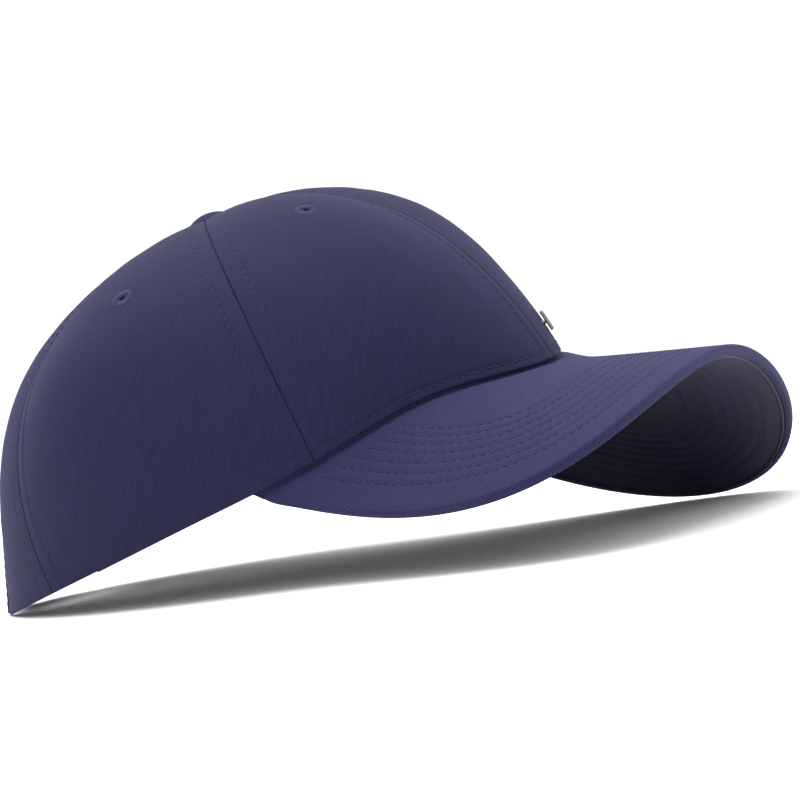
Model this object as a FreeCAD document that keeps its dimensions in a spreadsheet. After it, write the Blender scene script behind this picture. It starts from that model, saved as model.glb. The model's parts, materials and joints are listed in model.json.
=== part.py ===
import FreeCAD, Part, Sketcher
import math
import os

# Six-panel baseball cap with a curved visor and a hook-and-loop strap at the back.
#
# Everything is worked out in the hem frame: origin at the centre of the head opening, +Z out of the
# hem plane towards the crown, visor towards -Y, the wearer's right at -X.  The finished pieces are then
# tipped back by one Placement, so that the cap stands on the rear hem and the visor's lower edge.
#
# phi is the angle round the crown, 0 at the front, 90 at the wearer's right, 180 at the back.
# "run" is the parameter up a crown line, 0 at the hem and 1 at the button.
# "depth" is how far a layer lies inside the outer face of the crown; negative depths lie outside it.

doc = FreeCAD.newDocument("BaseballCap")
sheet = doc.addObject("Spreadsheet::Sheet", "Dimensions")
V = FreeCAD.Vector

DIMENSIONS = [
    # head opening
    ("hem_half_length", 100.0), ("hem_half_width", 83.0),
    ("hem_front_dip", 2.7), ("hem_side_rise", 3.7), ("hem_rise_angle", 43.0),
    ("hem_dip_spread", 22.0), ("hem_rise_spread", 18.0),
    # crown
    ("crown_height", 84.5), ("button_forward", 16.0),
    ("front_seam_angle", 64.0), ("rear_seam_angle", 123.0),
    ("front_flare", 0.09), ("front_rise", 0.70), ("front_shoulder", 0.50),
    ("side_flare", -0.11), ("side_rise", 0.655), ("side_shoulder", 0.74),
    ("rear_flare", 0.235), ("rear_rise", 0.37), ("rear_shoulder", 0.69),
    ("front_puff", 2.5), ("back_puff", 3.0),
    # cloth layers
    ("cloth", 1.0), ("buckram_depth", 1.15), ("buckram_cloth", 0.75),
    ("tape_depth", 1.35), ("tape_cloth", 0.5), ("tape_width", 12.0), ("crown_hole", 5.0),
    ("lining_depth", 3.3), ("lining_cloth", 0.8),
    ("sweatband_depth", 4.4), ("sweatband_cloth", 0.9), ("sweatband_height", 32.0),
    ("label_depth", 5.6), ("label_cloth", 0.3),
    # visor
    ("visor_end_angle", 76.5), ("visor_front", 155.2), ("visor_front_drop", 26.0),
    ("visor_mid_handle", 80.0), ("visor_corner_out", 136.0), ("visor_corner_front", 122.0),
    ("visor_corner_drop", 92.0), ("visor_side_out", 71.0), ("visor_side_front", 46.0),
    ("visor_side_drop", 28.0), ("visor_twist", 13.0), ("crown_lean", 5.0), ("visor_gap", 0.35),
    ("visor_cloth", 0.8), ("visor_board", 1.8), ("visor_margin", 2.2), ("visor_board_gap", 0.05),
    # button
    ("button_radius", 7.0), ("button_height", 2.4), ("button_cloth", 0.6),
    ("rivet_radius", 1.5), ("rivet_flange_radius", 5.5), ("rivet_flange", 0.6),
    ("washer_radius", 7.5), ("washer_thick", 0.5),
    # eyelets
    ("eyelet_ring", 2.8), ("eyelet_thread", 1.0), ("eyelet_clearance", 0.15),
    ("front_eyelet_angle", 35.0), ("front_eyelet_run", 0.556),
    ("side_eyelet_angle", 88.0), ("side_eyelet_run", 0.565),
    ("rear_eyelet_angle", 150.0), ("rear_eyelet_run", 0.60),
    # badge
    ("badge_angle", -16.0), ("badge_height", 10.0), ("badge_length", 15.0), ("badge_width", 7.0),
    ("badge_thick", 1.0), ("badge_frame", 1.4), ("badge_lift", 0.5),
    ("prong_radius", 0.6), ("prong_length", 3.6), ("prong_clearance", 0.15),
    ("backing_length", 16.0), ("backing_width", 5.0), ("backing_thick", 0.5),
    # back opening and strap
    ("arch_half_width", 34.0), ("arch_height", 42.0), ("binding_width", 8.0), ("binding_cloth", 0.6),
    ("strap_low", 2.0), ("strap_high", 22.0), ("strap_cloth", 1.2),
    ("strap_root_depth", 1.35), ("loop_strap_depth", 0.4), ("hook_strap_depth", -2.05),
    ("patch_cloth", 0.35), ("patch_gap", 0.1), ("strap_hinge_angle", 203.0),
    ("strap_hinge_gap", 1.6),
]
for row, (alias, value) in enumerate(DIMENSIONS, start=1):
    sheet.set("A%d" % row, alias)
    sheet.set("B%d" % row, str(value))
    sheet.setAlias("B%d" % row, alias)
doc.recompute()


def dim(alias):
    """A driving dimension as a number of millimetres or degrees."""
    return float(sheet.get(alias))


# ---------------------------------------------------------------- crown geometry

A, B = dim("hem_half_length"), dim("hem_half_width")
APEX_Y, HEIGHT = -dim("button_forward"), dim("crown_height")
FRONT_SEAM, REAR_SEAM = dim("front_seam_angle"), dim("rear_seam_angle")
CLOTH = dim("cloth")


def signed(phi):
    """The same direction as phi, between -180 and 180 degrees."""
    return (phi + 180.0) % 360.0 - 180.0


def hem_height(phi):
    """The hem dips at the front and rises a little over each temple."""
    a = abs(signed(phi))
    dip = dim("hem_front_dip") * math.exp(-(a / dim("hem_dip_spread")) ** 2)
    rise = dim("hem_side_rise") * math.exp(-((a - dim("hem_rise_angle")) / dim("hem_rise_spread")) ** 2)
    return rise - dip


def around(phi, name):
    """A crown shape value blended between the front, the side and the rear."""
    c = math.cos(math.radians(phi))
    side = dim("side_" + name)
    end = dim("front_" + name) if c > 0 else dim("rear_" + name)
    return side + (end - side) * c * c


def puff_height(phi):
    """How far the cloth fills out between two seams."""
    a = abs(signed(phi))
    if a < FRONT_SEAM:
        return dim("front_puff") * math.sin(math.pi * a / FRONT_SEAM)
    if a < REAR_SEAM:
        return dim("back_puff") * math.sin(math.pi * (a - FRONT_SEAM) / (REAR_SEAM - FRONT_SEAM))
    return dim("back_puff") * math.sin(math.pi * (a - REAR_SEAM) / (180.0 - REAR_SEAM))


class CrownLine:
    """One line up the crown, in the upright plane through the button at the angle phi."""

    def __init__(self, phi):
        angle = math.radians(phi)
        hx, hy = -B * math.sin(angle), -A * math.cos(angle)
        self.reach = math.hypot(hx, hy - APEX_Y)
        self.out = V(hx / self.reach, (hy - APEX_Y) / self.reach, 0)
        self.low = hem_height(phi)
        self.flare, self.rise = around(phi, "flare"), around(phi, "rise")
        self.shoulder = around(phi, "shoulder")
        self.puff = puff_height(phi)

    def flat(self, run, depth):
        """Radius and height: a cubic Bezier from hem to button, moved along its own normal."""
        q = 1.0 - run
        b0, b1, b2, b3 = q ** 3, 3 * q * q * run, 3 * q * run * run, run ** 3
        rho = b0 + b1 * (1 - self.flare) + b2 * self.shoulder
        lift = b1 * self.rise + b2 + b3
        d1, d2, d3 = 3 * q * q, 6 * q * run, 3 * run * run
        slope_r = self.reach * (d1 * -self.flare + d2 * (self.shoulder - 1 + self.flare) - d3 * self.shoulder)
        span = HEIGHT - self.low
        slope_z = span * (d1 * self.rise + d2 * (1 - self.rise))
        size = math.hypot(slope_r, slope_z)
        nr, nz = slope_z / size, -slope_r / size
        move = self.puff * math.sin(math.pi * min(max(run, 0), 1)) - depth
        return self.reach * rho + move * nr, self.low + span * lift + move * nz

    def place(self, radius, height):
        return V(0, APEX_Y, height) + self.out * radius

    def point(self, run, depth=0.0):
        return self.place(*self.flat(run, depth))

    def solve(self, wanted, depth, use_height):
        """The run where the line reaches a height above the hem plane, or narrows to a radius."""
        low, high = -0.2, 1.0
        for _ in range(40):
            mid = (low + high) / 2
            radius, height = self.flat(mid, depth)
            past = height > wanted if use_height else radius < wanted
            low, high = (low, mid) if past else (mid, high)
        return (low + high) / 2


def up_to_height(height):
    """A layer edge at a height above the hem's own edge."""
    return lambda line, depth: line.solve(line.low + height, depth, True)


def up_to_radius(radius):
    """A layer edge at a distance from the button's axis."""
    return lambda line, depth: line.solve(radius, depth, False)


def section(phi, depth, cloth, start, stop, steps=10):
    """The closed outline of a cloth layer in the upright plane at phi: four edges."""
    line = CrownLine(phi)
    rows = []
    for d in (depth, depth + cloth):
        first, last = start(line, d), stop(line, d)
        rows.append([line.point(first + (last - first) * i / steps, d) for i in range(steps + 1)])
    outer, inner = rows[0], rows[1][::-1]
    edges = []
    shares = [i / steps for i in range(steps + 1)]
    for run_points in (outer, inner):
        curve = Part.BSplineCurve()
        curve.interpolate(Points=run_points, Parameters=shares)
        edges.append(curve.toShape())
    return Part.Wire([edges[0], Part.makeLine(outer[-1], inner[0]), edges[1],
                      Part.makeLine(inner[-1], outer[0])])


def layer(first, last, depth, cloth, start, stop, count=8):
    """A cloth layer between two angles.  depth is a number, or a function of phi."""
    at = depth if callable(depth) else lambda phi: depth
    angles = [first + (last - first) * i / count for i in range(count + 1)]
    wires = [section(phi, at(phi), cloth, start, stop) for phi in angles]
    return Part.makeLoft(wires, True, False)


def long_layer(breaks, depth, cloth, start, stop):
    """A cloth layer that crosses several seams: one loft between each two breaks, joined into one solid."""
    pieces = [layer(first, last, depth, cloth, start, stop) for first, last in zip(breaks, breaks[1:])]
    return pieces[0].fuse(pieces[1:]).removeSplitter()


def surface_frame(phi, run, depth=0.0):
    """A frame on the crown: X along the hem, Y up the crown, Z outwards."""
    here = CrownLine(phi).point(run, depth)
    up = CrownLine(phi).point(run + 0.004, depth) - here
    along = CrownLine(phi - 0.4).point(run, depth) - CrownLine(phi + 0.4).point(run, depth)
    up.normalize()
    out = along.cross(up)
    out.normalize()
    along = up.cross(out)
    turn = FreeCAD.Rotation(along, up, out, "ZXY")
    return FreeCAD.Placement(here, turn)


def drill(shape, spot, radius):
    """A round hole through a layer, along the crown's normal."""
    tool = Part.makeCylinder(radius, 12.0, V(0, 0, -6.0))
    tool.Placement = spot
    return shape.cut(tool)


def arch(half_width, height):
    """The back opening as a prism along +Y: straight sides with a round top."""
    shoulder = height - half_width
    box = Part.makeBox(2 * half_width, 100, shoulder + 20, V(-half_width, 30, -20))
    top = Part.makeCylinder(half_width, 100, V(0, 30, shoulder), V(0, 1, 0))
    return box.fuse(top).removeSplitter()


# ---------------------------------------------------------------- places on the crown

HEM = up_to_height(0.0)
TOP = up_to_radius(dim("crown_hole"))
SIDES = (("right", 1), ("left", -1))
EYELETS = {}
for side, sign in SIDES:
    for panel in ("front", "side", "rear"):
        EYELETS["%s_eyelet_%s" % (panel, side)] = surface_frame(
            sign * dim(panel + "_eyelet_angle"), dim(panel + "_eyelet_run"), CLOTH / 2)
badge_line = CrownLine(dim("badge_angle"))
BADGE = surface_frame(dim("badge_angle"), badge_line.solve(badge_line.low + dim("badge_height"), 0, True))
OPENING = arch(dim("arch_half_width"), dim("arch_height"))
layers = {}


# ---------------------------------------------------------------- crown panels and linings

def prong_spots():
    """Under the middle of the badge's two end bars."""
    half = (dim("badge_length") - dim("badge_frame")) / 2
    for side in (-1, 1):
        yield BADGE * FreeCAD.Placement(V(side * half, 0, 0), FreeCAD.Rotation())


def make_panels():
    hole = dim("eyelet_ring") + dim("eyelet_thread") + dim("eyelet_clearance")
    spans = {"front": (0.0, FRONT_SEAM), "side": (FRONT_SEAM, REAR_SEAM), "rear": (REAR_SEAM, 180.0)}
    for side, sign in SIDES:
        for panel, (first, last) in spans.items():
            shape = layer(sign * first, sign * last, 0.0, CLOTH, HEM, TOP)
            if panel == "rear":
                shape = shape.cut(OPENING)
            shape = drill(shape, EYELETS["%s_eyelet_%s" % (panel, side)], hole)
            layers["%s_panel_%s" % (panel, side)] = shape
        margin = 7.0
        buckram = layer(sign * margin, sign * (FRONT_SEAM - margin - 1), dim("buckram_depth"),
                        dim("buckram_cloth"), up_to_height(1.5), up_to_radius(30.0))
        layers["buckram_" + side] = drill(buckram, EYELETS["front_eyelet_" + side], hole)
    for spot in prong_spots():
        for name in ("front_panel_left", "buckram_left"):
            layers[name] = drill(layers[name], spot, dim("prong_radius") + dim("prong_clearance"))


def make_tape(phi, low, high=15.0):
    """A woven tape along the inside of a seam, lofted through flat cross-sections."""
    line = CrownLine(phi)
    depth, cloth, half = dim("tape_depth"), dim("tape_cloth"), dim("tape_width") / 2
    first, last = line.solve(low, depth, True), line.solve(high, depth, False)
    wires = []
    steps = 10
    for i in range(steps + 1):
        spot = surface_frame(phi, first + (last - first) * i / steps, depth)
        corners = [spot.multVec(V(x, 0, z)) for x, z in
                   ((-half, 0), (half, 0), (half, -cloth), (-half, -cloth))]
        wires.append(Part.makePolygon(corners + corners[:1]))
    return Part.makeLoft(wires, True, False)


def make_linings():
    layers["front_seam_tape"] = make_tape(0.0, 2.0)
    for side, sign in SIDES:
        layers["front_side_tape_" + side] = make_tape(sign * FRONT_SEAM, 3.0)
        layers["rear_side_tape_" + side] = make_tape(sign * REAR_SEAM, 3.0)
    layers["rear_seam_tape"] = make_tape(180.0, dim("arch_height") + dim("binding_width") + 2)
    clear = 1.0
    ring = arch(dim("arch_half_width") + dim("binding_width"), dim("arch_height") + dim("binding_width"))
    band = layer(140.0, 220.0, dim("tape_depth"), dim("binding_cloth"),
                 up_to_height(dim("strap_high") + clear), up_to_height(60.0), 10)
    layers["arch_binding"] = band.common(ring).cut(OPENING)
    layers["forehead_lining"] = long_layer((-62.0, 0.0, 62.0), dim("lining_depth"), dim("lining_cloth"),
                                           up_to_height(3.0), up_to_height(dim("sweatband_height") - 3))
    breaks = (-148.0, -REAR_SEAM, -FRONT_SEAM, 0.0, FRONT_SEAM, REAR_SEAM, 148.0)
    layers["sweatband"] = long_layer(breaks, dim("sweatband_depth"), dim("sweatband_cloth"),
                                     up_to_height(1.0), up_to_height(dim("sweatband_height")))
    layers["size_label"] = layer(-96.0, -110.0, dim("label_depth"), dim("label_cloth"),
                                 up_to_height(8.0), up_to_height(24.0), 3)
    layers["care_label"] = layer(92.0, 112.0, dim("label_depth"), dim("label_cloth"),
                                 up_to_height(6.0), up_to_height(28.0), 4)


# ---------------------------------------------------------------- visor

END = dim("visor_end_angle")


def visor_inner(place):
    """The sewn edge, just under the hem.  place runs from -1 at the left end to 1 at the right."""
    line = CrownLine(place * END)
    below = dim("visor_gap") + dim("visor_board") / 2 + dim("visor_board_gap") + dim("visor_cloth")
    radius, height = line.flat(line.solve(line.low, 0, True), 0)
    return line.place(radius - 1.0, height - below)


def visor_outer(place):
    """The free edge: a Bezier with five poles for each half, sheared so that it sits twisted."""
    share, side = abs(place), math.copysign(1.0, place)
    end = visor_inner(side)
    poles = [V(0, -dim("visor_front"), -dim("visor_front_drop")),
             V(-dim("visor_mid_handle"), -dim("visor_front"), -dim("visor_front_drop")),
             V(-dim("visor_corner_out"), -dim("visor_corner_front"), -dim("visor_corner_drop")),
             V(-dim("visor_side_out"), -dim("visor_side_front"), -dim("visor_side_drop")),
             V(-abs(end.x), end.y, end.z)]
    spot = V(0, 0, 0)
    for i, pole in enumerate(poles):
        spot = spot + pole * (math.comb(4, i) * (1 - share) ** (4 - i) * share ** i)
    spot.x = spot.x * side
    spot.z = spot.z - spot.x * math.tan(math.radians(dim("visor_twist"))) * (1 - share ** 3)
    return spot


def visor_sheet(above, below, inset, trim, reach=0.985, steps=40):
    """A visor layer between two heights over its mid surface, cut back at the free and sewn edges."""
    wires = []
    for i in range(steps + 1):
        place = reach * (2.0 * i / steps - 1.0)
        inner, outer = visor_inner(place), visor_outer(place)
        ruling = outer - inner
        length = ruling.Length
        ruling.normalize()
        step = 0.01
        along = visor_outer(place + step) + visor_inner(place + step) \
            - visor_outer(place - step) - visor_inner(place - step)
        up = ruling.cross(along)
        up.normalize()
        up = up if up.z > 0 else up * -1.0
        start = inner + ruling * min(trim, length * 0.3)
        stop = outer - ruling * min(inset, length * 0.3)
        corners = [start + up * above, stop + up * above, stop + up * below, start + up * below]
        wires.append(Part.makePolygon(corners + corners[:1]))
    return Part.makeLoft(wires, True, False)


def make_visor():
    board, cloth, gap = dim("visor_board") / 2, dim("visor_cloth"), dim("visor_board_gap")
    layers["visor_board"] = visor_sheet(board, -board, dim("visor_margin"), 3.0, 0.94)
    layers["visor_top_cover"] = visor_sheet(board + gap + cloth, board + gap, 0.0, 0.0)
    layers["visor_under_cover"] = visor_sheet(-board - gap, -board - gap - cloth, 0.0, 0.0)


# ---------------------------------------------------------------- strap

HINGE = dim("strap_hinge_angle")
FLAP_END = HINGE - dim("strap_hinge_gap")


def eased(phi, first, last, start, stop):
    """A value that turns smoothly from start to stop between two angles."""
    share = min(max((phi - first) / (last - first), 0.0), 1.0)
    return start + (stop - start) * share * share * (3 - 2 * share)


def make_strap():
    low, high = up_to_height(dim("strap_low")), up_to_height(dim("strap_high"))
    root, cloth, patch = dim("strap_root_depth"), dim("strap_cloth"), dim("patch_cloth")
    under, over = dim("loop_strap_depth"), dim("hook_strap_depth")
    layers["loop_strap"] = layer(149.0, 192.0, lambda phi: eased(phi, 156.0, 165.0, root, under), cloth,
                                 low, high, 22)
    gap, margin = dim("patch_gap"), 1.0
    patch_low, patch_high = up_to_height(dim("strap_low") + margin), up_to_height(dim("strap_high") - margin)
    layers["loop_patch"] = layer(167.0, 191.0, under - patch - gap, patch, patch_low, patch_high, 8)
    layers["hook_strap"] = layer(168.0, FLAP_END, lambda phi: eased(phi, 194.0, FLAP_END, over, root - 0.8),
                                 cloth, low, high, 20)
    layers["hook_patch"] = layer(169.0, 189.0, over + cloth + gap, patch, patch_low, patch_high, 8)
    layers["hook_strap_root"] = layer(HINGE, 211.0, root, cloth, low, high, 6)


make_panels()
make_linings()
make_visor()
make_strap()


# ---------------------------------------------------------------- how the cap stands

def rest_placement():
    """Lean the soft crown to the right, then tip it back until hem and visor share the plane z = 0."""
    lean = FreeCAD.Rotation(V(0, 1, 0), -dim("crown_lean"))
    arch_end = 180.0 - math.degrees(math.asin(dim("arch_half_width") / B))
    rear = lean.multVec(CrownLine(arch_end).point(0.0))
    half = dim("visor_board") / 2 + dim("visor_cloth")
    pitch = 0.0
    for i in range(-60, 61):
        edge = lean.multVec(visor_outer(i / 61.0))
        pitch = max(pitch, math.atan2(rear.z - edge.z + half, rear.y - edge.y))
    turn = FreeCAD.Placement(V(0, 0, 0), FreeCAD.Rotation(V(1, 0, 0), -math.degrees(pitch)) * lean)
    solids = []
    for shape in layers.values():
        moved = shape.copy()
        moved.Placement = turn
        solids.append(moved)
    box = Part.makeCompound(solids).optimalBoundingBox(False)
    shift = V(-(box.XMin + box.XMax) / 2, -(box.YMin + box.YMax) / 2, -box.ZMin)
    return FreeCAD.Placement(shift, turn.Rotation)


STAND = rest_placement()
parts = []


def keep(obj, label):
    """Register an object of the document as one sub-part."""
    obj.Label = label
    parts.append(obj)
    return obj


for label, shape in layers.items():
    feature = doc.addObject("Part::Feature", label)
    feature.Shape = shape
    feature.Placement = STAND
    keep(feature, label)


# ---------------------------------------------------------------- hard parts

def bound(obj, **sizes):
    """Bind the sizes of an object to expressions on the sheet."""
    for name, text in sizes.items():
        obj.setExpression(name, text)
    return obj


def outline(body, role, corners, label):
    """A closed sketch of straight lines on an origin plane, each corner driven by two expressions."""
    sketch = body.newObject("Sketcher::SketchObject", label)
    plane = [f for f in body.Origin.OriginFeatures if f.Role == role][0]
    sketch.AttachmentSupport = [(plane, "")]
    sketch.MapMode = "FlatFace"
    count = len(corners)
    guess = [V(10 * math.cos(2 * math.pi * i / count) + 11, 10 * math.sin(2 * math.pi * i / count) + 11, 0)
             for i in range(count)]
    for i in range(count):
        sketch.addGeometry(Part.LineSegment(guess[i], guess[(i + 1) % count]), False)
    for i in range(count):
        sketch.addConstraint(Sketcher.Constraint("Coincident", i, 2, (i + 1) % count, 1))
    for i, (x, y) in enumerate(corners):
        for kind, text, axis in (("DistanceX", x, -2), ("DistanceY", y, -1)):
            if text == "0":
                sketch.addConstraint(Sketcher.Constraint("PointOnObject", i, 1, axis))
            else:
                index = sketch.addConstraint(Sketcher.Constraint(kind, -1, 1, i, 1, 1.0))
                sketch.setExpression("Constraints[%d]" % index, text.replace("$", "Dimensions."))
    return sketch


def turned(name, corners):
    """A body turned about Z from a profile in the XZ plane."""
    body = doc.addObject("PartDesign::Body", name)
    sketch = outline(body, "XZ_Plane", corners, name + "_profile")
    turn = body.newObject("PartDesign::Revolution", name + "_turn")
    turn.Profile = sketch
    turn.ReferenceAxis = (sketch, ["V_Axis"])
    turn.Angle = 360.0
    sketch.Visibility = False
    return body


def plate(name, corners, thick, windows=()):
    """A flat body padded up from the XY plane, with windows cut through it."""
    body = doc.addObject("PartDesign::Body", name)
    pad = body.newObject("PartDesign::Pad", name + "_pad")
    pad.Profile = outline(body, "XY_Plane", corners, name + "_outline")
    pad.setExpression("Length", thick)
    doc.recompute()
    for number, window in enumerate(windows, start=1):
        solid = body.Shape.Volume
        cut = body.newObject("PartDesign::Pocket", "%s_window_%d" % (name, number))
        cut.Profile = outline(body, "XY_Plane", window, "%s_window_outline_%d" % (name, number))
        cut.Type = "ThroughAll"
        cut.Reversed = True
        doc.recompute()
        if body.Shape.Volume > solid - 1.0:
            raise RuntimeError("%s: window %d cut nothing" % (name, number))
    return body


def box_corners(x0, x1, y0, y1):
    return [(x0, y0), (x1, y0), (x1, y1), (x0, y1)]


def cap_of_sphere(name, radius, height, at):
    """The top slice of a sphere, as wide as radius and as tall as height."""
    ball = doc.addObject("Part::Sphere", name)
    sphere = "((%s)^2 + (%s)^2) / (2 * (%s))" % (radius, height, height)
    bound(ball, Radius=sphere, Angle1="asin(1 - (%s) / (%s))" % (height, sphere))
    ball.Angle2 = 90
    ball.Angle3 = 360
    doc.recompute()
    drop = ball.Radius.Value * math.sin(math.radians(ball.Angle1.Value))
    ball.Placement = at * FreeCAD.Placement(V(0, 0, -drop), FreeCAD.Rotation())
    return ball


def make_button():
    """A pressed cover of the same cloth over a dome, held by a rivet through the crown's top."""
    top = STAND * FreeCAD.Placement(V(0, APEX_Y, HEIGHT + 0.3), FreeCAD.Rotation())
    radius, height, cloth = "Dimensions.button_radius", "Dimensions.button_height", "Dimensions.button_cloth"
    inner_size = ("%s - %s" % (radius, cloth), "%s - %s" % (height, cloth))
    cover = doc.addObject("Part::Cut", "button_cover_cut")
    cover.Base = cap_of_sphere("button_outside", radius, height, top)
    cover.Tool = cap_of_sphere("button_inside", inner_size[0], inner_size[1], top)
    keep(cover, "button_cover")
    keep(cap_of_sphere("button_dome_cap", inner_size[0], inner_size[1], top), "button_dome")
    rivet = turned("button_rivet_body", [
        ("0", "0"), ("$rivet_radius", "0"), ("$rivet_radius", "-$cloth - 2.0"),
        ("$rivet_flange_radius", "-$cloth - 2.0"), ("$rivet_flange_radius", "-$cloth - 2.0 - $rivet_flange"),
        ("0", "-$cloth - 2.0 - $rivet_flange")])
    rivet.Placement = top
    keep(rivet, "button_rivet")
    washer = turned("button_washer_body", [
        ("$rivet_radius + 0.1", "-$cloth - 1.9"), ("$washer_radius", "-$cloth - 1.9"),
        ("$washer_radius", "-$cloth - 1.9 + $washer_thick"),
        ("$rivet_radius + 0.1", "-$cloth - 1.9 + $washer_thick")])
    washer.Placement = top
    keep(washer, "button_washer")


def make_eyelets():
    for label, spot in EYELETS.items():
        ring = bound(doc.addObject("Part::Torus", label), Radius1="Dimensions.eyelet_ring",
                     Radius2="Dimensions.eyelet_thread")
        ring.Placement = STAND * spot
        keep(ring, label)


def make_badge():
    """A small openwork metal frame, held by two prongs and a plate inside the crown."""
    frame, lift = "$badge_frame", FreeCAD.Placement(V(0, 0, dim("badge_lift")), FreeCAD.Rotation())
    half, tall = "$badge_length / 2", "$badge_width / 2"
    low_edge, high_edge = "-%s + %s" % (tall, frame), "%s - %s" % (tall, frame)
    badge = plate("badge_body", box_corners("-" + half, half, "-" + tall, tall), "Dimensions.badge_thick", [
        box_corners("-%s + %s" % (half, frame), "-%s / 2" % frame, low_edge, high_edge),
        box_corners("%s / 2" % frame, "%s - %s" % (half, frame), low_edge, high_edge)])
    badge.Placement = STAND * BADGE * lift
    keep(badge, "badge")
    backing = plate("backing_body", box_corners("-$backing_length / 2", "$backing_length / 2",
                                                "-$backing_width / 2", "$backing_width / 2"),
                    "Dimensions.backing_thick")
    back = FreeCAD.Placement(V(0, 0, dim("badge_lift") - dim("prong_length")), FreeCAD.Rotation())
    backing.Placement = STAND * BADGE * back
    keep(backing, "badge_backing")
    prongs = []
    for number, spot in enumerate(prong_spots(), start=1):
        prong = bound(doc.addObject("Part::Cylinder", "badge_prong_%d" % number),
                      Radius="Dimensions.prong_radius",
                      Height="Dimensions.prong_length - Dimensions.backing_thick")
        prong.Placement = STAND * spot * FreeCAD.Placement(
            V(0, 0, dim("badge_lift") - dim("prong_length") + dim("backing_thick")), FreeCAD.Rotation())
        prongs.append(prong)
    pair = doc.addObject("Part::Compound", "badge_prong_pair")
    pair.Links = prongs
    keep(pair, "badge_prongs")


make_button()
make_eyelets()
make_badge()
doc.recompute()

for obj in doc.Objects:
    if "Invalid" in obj.State or "Error" in obj.State:
        raise RuntimeError("%s did not recompute: %s" % (obj.Name, obj.State))
os.makedirs("parts", exist_ok=True)
for obj in parts:
    if obj.Shape.isNull() or not obj.Shape.isValid():
        raise RuntimeError("%s has no valid shape" % obj.Label)
    obj.Shape.exportStep("parts/%s.step" % obj.Label)

root_depth = dim("strap_root_depth")
hinge_line = surface_frame((HINGE + FLAP_END) / 2, CrownLine(HINGE).solve(dim("strap_low"), root_depth, True),
                           root_depth)
hinge_at = STAND.multVec(hinge_line.Base)
hinge_up = STAND.Rotation.multVec(hinge_line.Rotation.multVec(V(0, 1, 0)))
print("sub-parts:", len(parts))
print("rest placement:", STAND, "hem normal", STAND.Rotation.multVec(V(0, 0, 1)))
print("strap hinge at", hinge_at, "along", hinge_up)
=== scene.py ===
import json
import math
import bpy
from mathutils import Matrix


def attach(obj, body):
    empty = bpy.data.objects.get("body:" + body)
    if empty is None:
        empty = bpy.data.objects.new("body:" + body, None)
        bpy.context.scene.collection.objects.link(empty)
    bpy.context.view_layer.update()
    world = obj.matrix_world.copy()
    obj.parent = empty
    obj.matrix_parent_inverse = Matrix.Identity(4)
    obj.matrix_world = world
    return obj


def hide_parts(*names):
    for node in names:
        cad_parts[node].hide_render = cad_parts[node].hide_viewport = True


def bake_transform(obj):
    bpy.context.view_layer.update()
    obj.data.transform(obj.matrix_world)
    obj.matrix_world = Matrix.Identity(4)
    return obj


bl_info = {
    "name": "Six-panel baseball cap",
    "version": (1, 0, 0),
    "blender": (4, 5, 0),
    "location": "3D View > Sidebar > Cap",
    "description": "Sewn panels, curved visor, topstitching and back strap of a baseball cap",
    "category": "Add Mesh",
}

import bmesh
import bpy
import numpy as np
from mathutils import Matrix, Vector

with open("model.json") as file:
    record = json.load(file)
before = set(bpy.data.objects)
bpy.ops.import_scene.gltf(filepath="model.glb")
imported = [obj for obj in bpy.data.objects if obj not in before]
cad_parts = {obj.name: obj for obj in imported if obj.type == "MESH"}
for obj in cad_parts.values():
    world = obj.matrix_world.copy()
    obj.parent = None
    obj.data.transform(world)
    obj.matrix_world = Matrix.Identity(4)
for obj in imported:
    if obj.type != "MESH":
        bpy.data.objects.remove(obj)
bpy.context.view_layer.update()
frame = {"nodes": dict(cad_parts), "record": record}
MM = 0.001

# The shape is worked out in millimetres in the hem frame: origin at the centre of the head opening,
# +Z out of the hem plane towards the crown, visor towards -Y, the wearer's right at -X.
# phi is the angle round the crown, 0 at the front, 90 at the wearer's right, 180 at the back.
# run goes from 0 at the hem to 1 at the button. depth is how far a layer lies inside the crown's face.
HALF_LENGTH, HALF_WIDTH = 100.0, 83.0
APEX_Y, HEIGHT = -16.0, 84.5
FRONT_SEAM, REAR_SEAM = 64.0, 123.0
FRONT = {"flare": 0.09, "rise": 0.70, "shoulder": 0.50}
SIDE = {"flare": -0.11, "rise": 0.655, "shoulder": 0.74}
REAR = {"flare": 0.235, "rise": 0.37, "shoulder": 0.69}
FRONT_PUFF, BACK_PUFF = 2.5, 3.0
CLOTH = 1.0
TOP_RADIUS = 5.0
ARCH_HALF, ARCH_HEIGHT = 34.0, 42.0
STRAP_LOW, STRAP_HIGH, STRAP_CLOTH = 2.0, 22.0, 1.2
STRAP_ROOT, LOOP_STRAP, HOOK_STRAP = 1.35, 0.4, -2.05
HINGE, FLAP_END = 203.0, 201.4
VISOR_END, VISOR_TWIST = 76.5, 13.0
VISOR_BOARD, VISOR_CLOTH, VISOR_GAP = 0.9, 0.8, 0.05
VISOR_FACE = VISOR_BOARD + VISOR_GAP + VISOR_CLOTH
VISOR_BELOW = 0.35 + VISOR_FACE
VISOR_POLES = [(0.0, -155.2, -26.0), (-80.0, -155.2, -26.0), (-136.0, -122.0, -92.0), (-71.0, -46.0, -28.0)]
EYELETS = {"front": (35.0, 0.556), "side": (88.0, 0.565), "rear": (150.0, 0.60)}
EYELET_RING, EYELET_THREAD = 2.8, 1.0
BUCKRAM_DEPTH, BUCKRAM_CLOTH = 1.15, 0.75
TAPE_DEPTH, TAPE_CLOTH, TAPE_HALF = 1.35, 0.5, 6.0
LINING_DEPTH, LINING_CLOTH = 3.3, 0.8
BAND_DEPTH, BAND_CLOTH, BAND_HEIGHT = 4.4, 0.9, 32.0
LABEL_DEPTH, LABEL_CLOTH = 5.6, 0.3
PATCH_CLOTH, PATCH_GAP = 0.35, 0.1
ARCH_TAPE = 123.0  # tape that goes round the back opening
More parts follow.
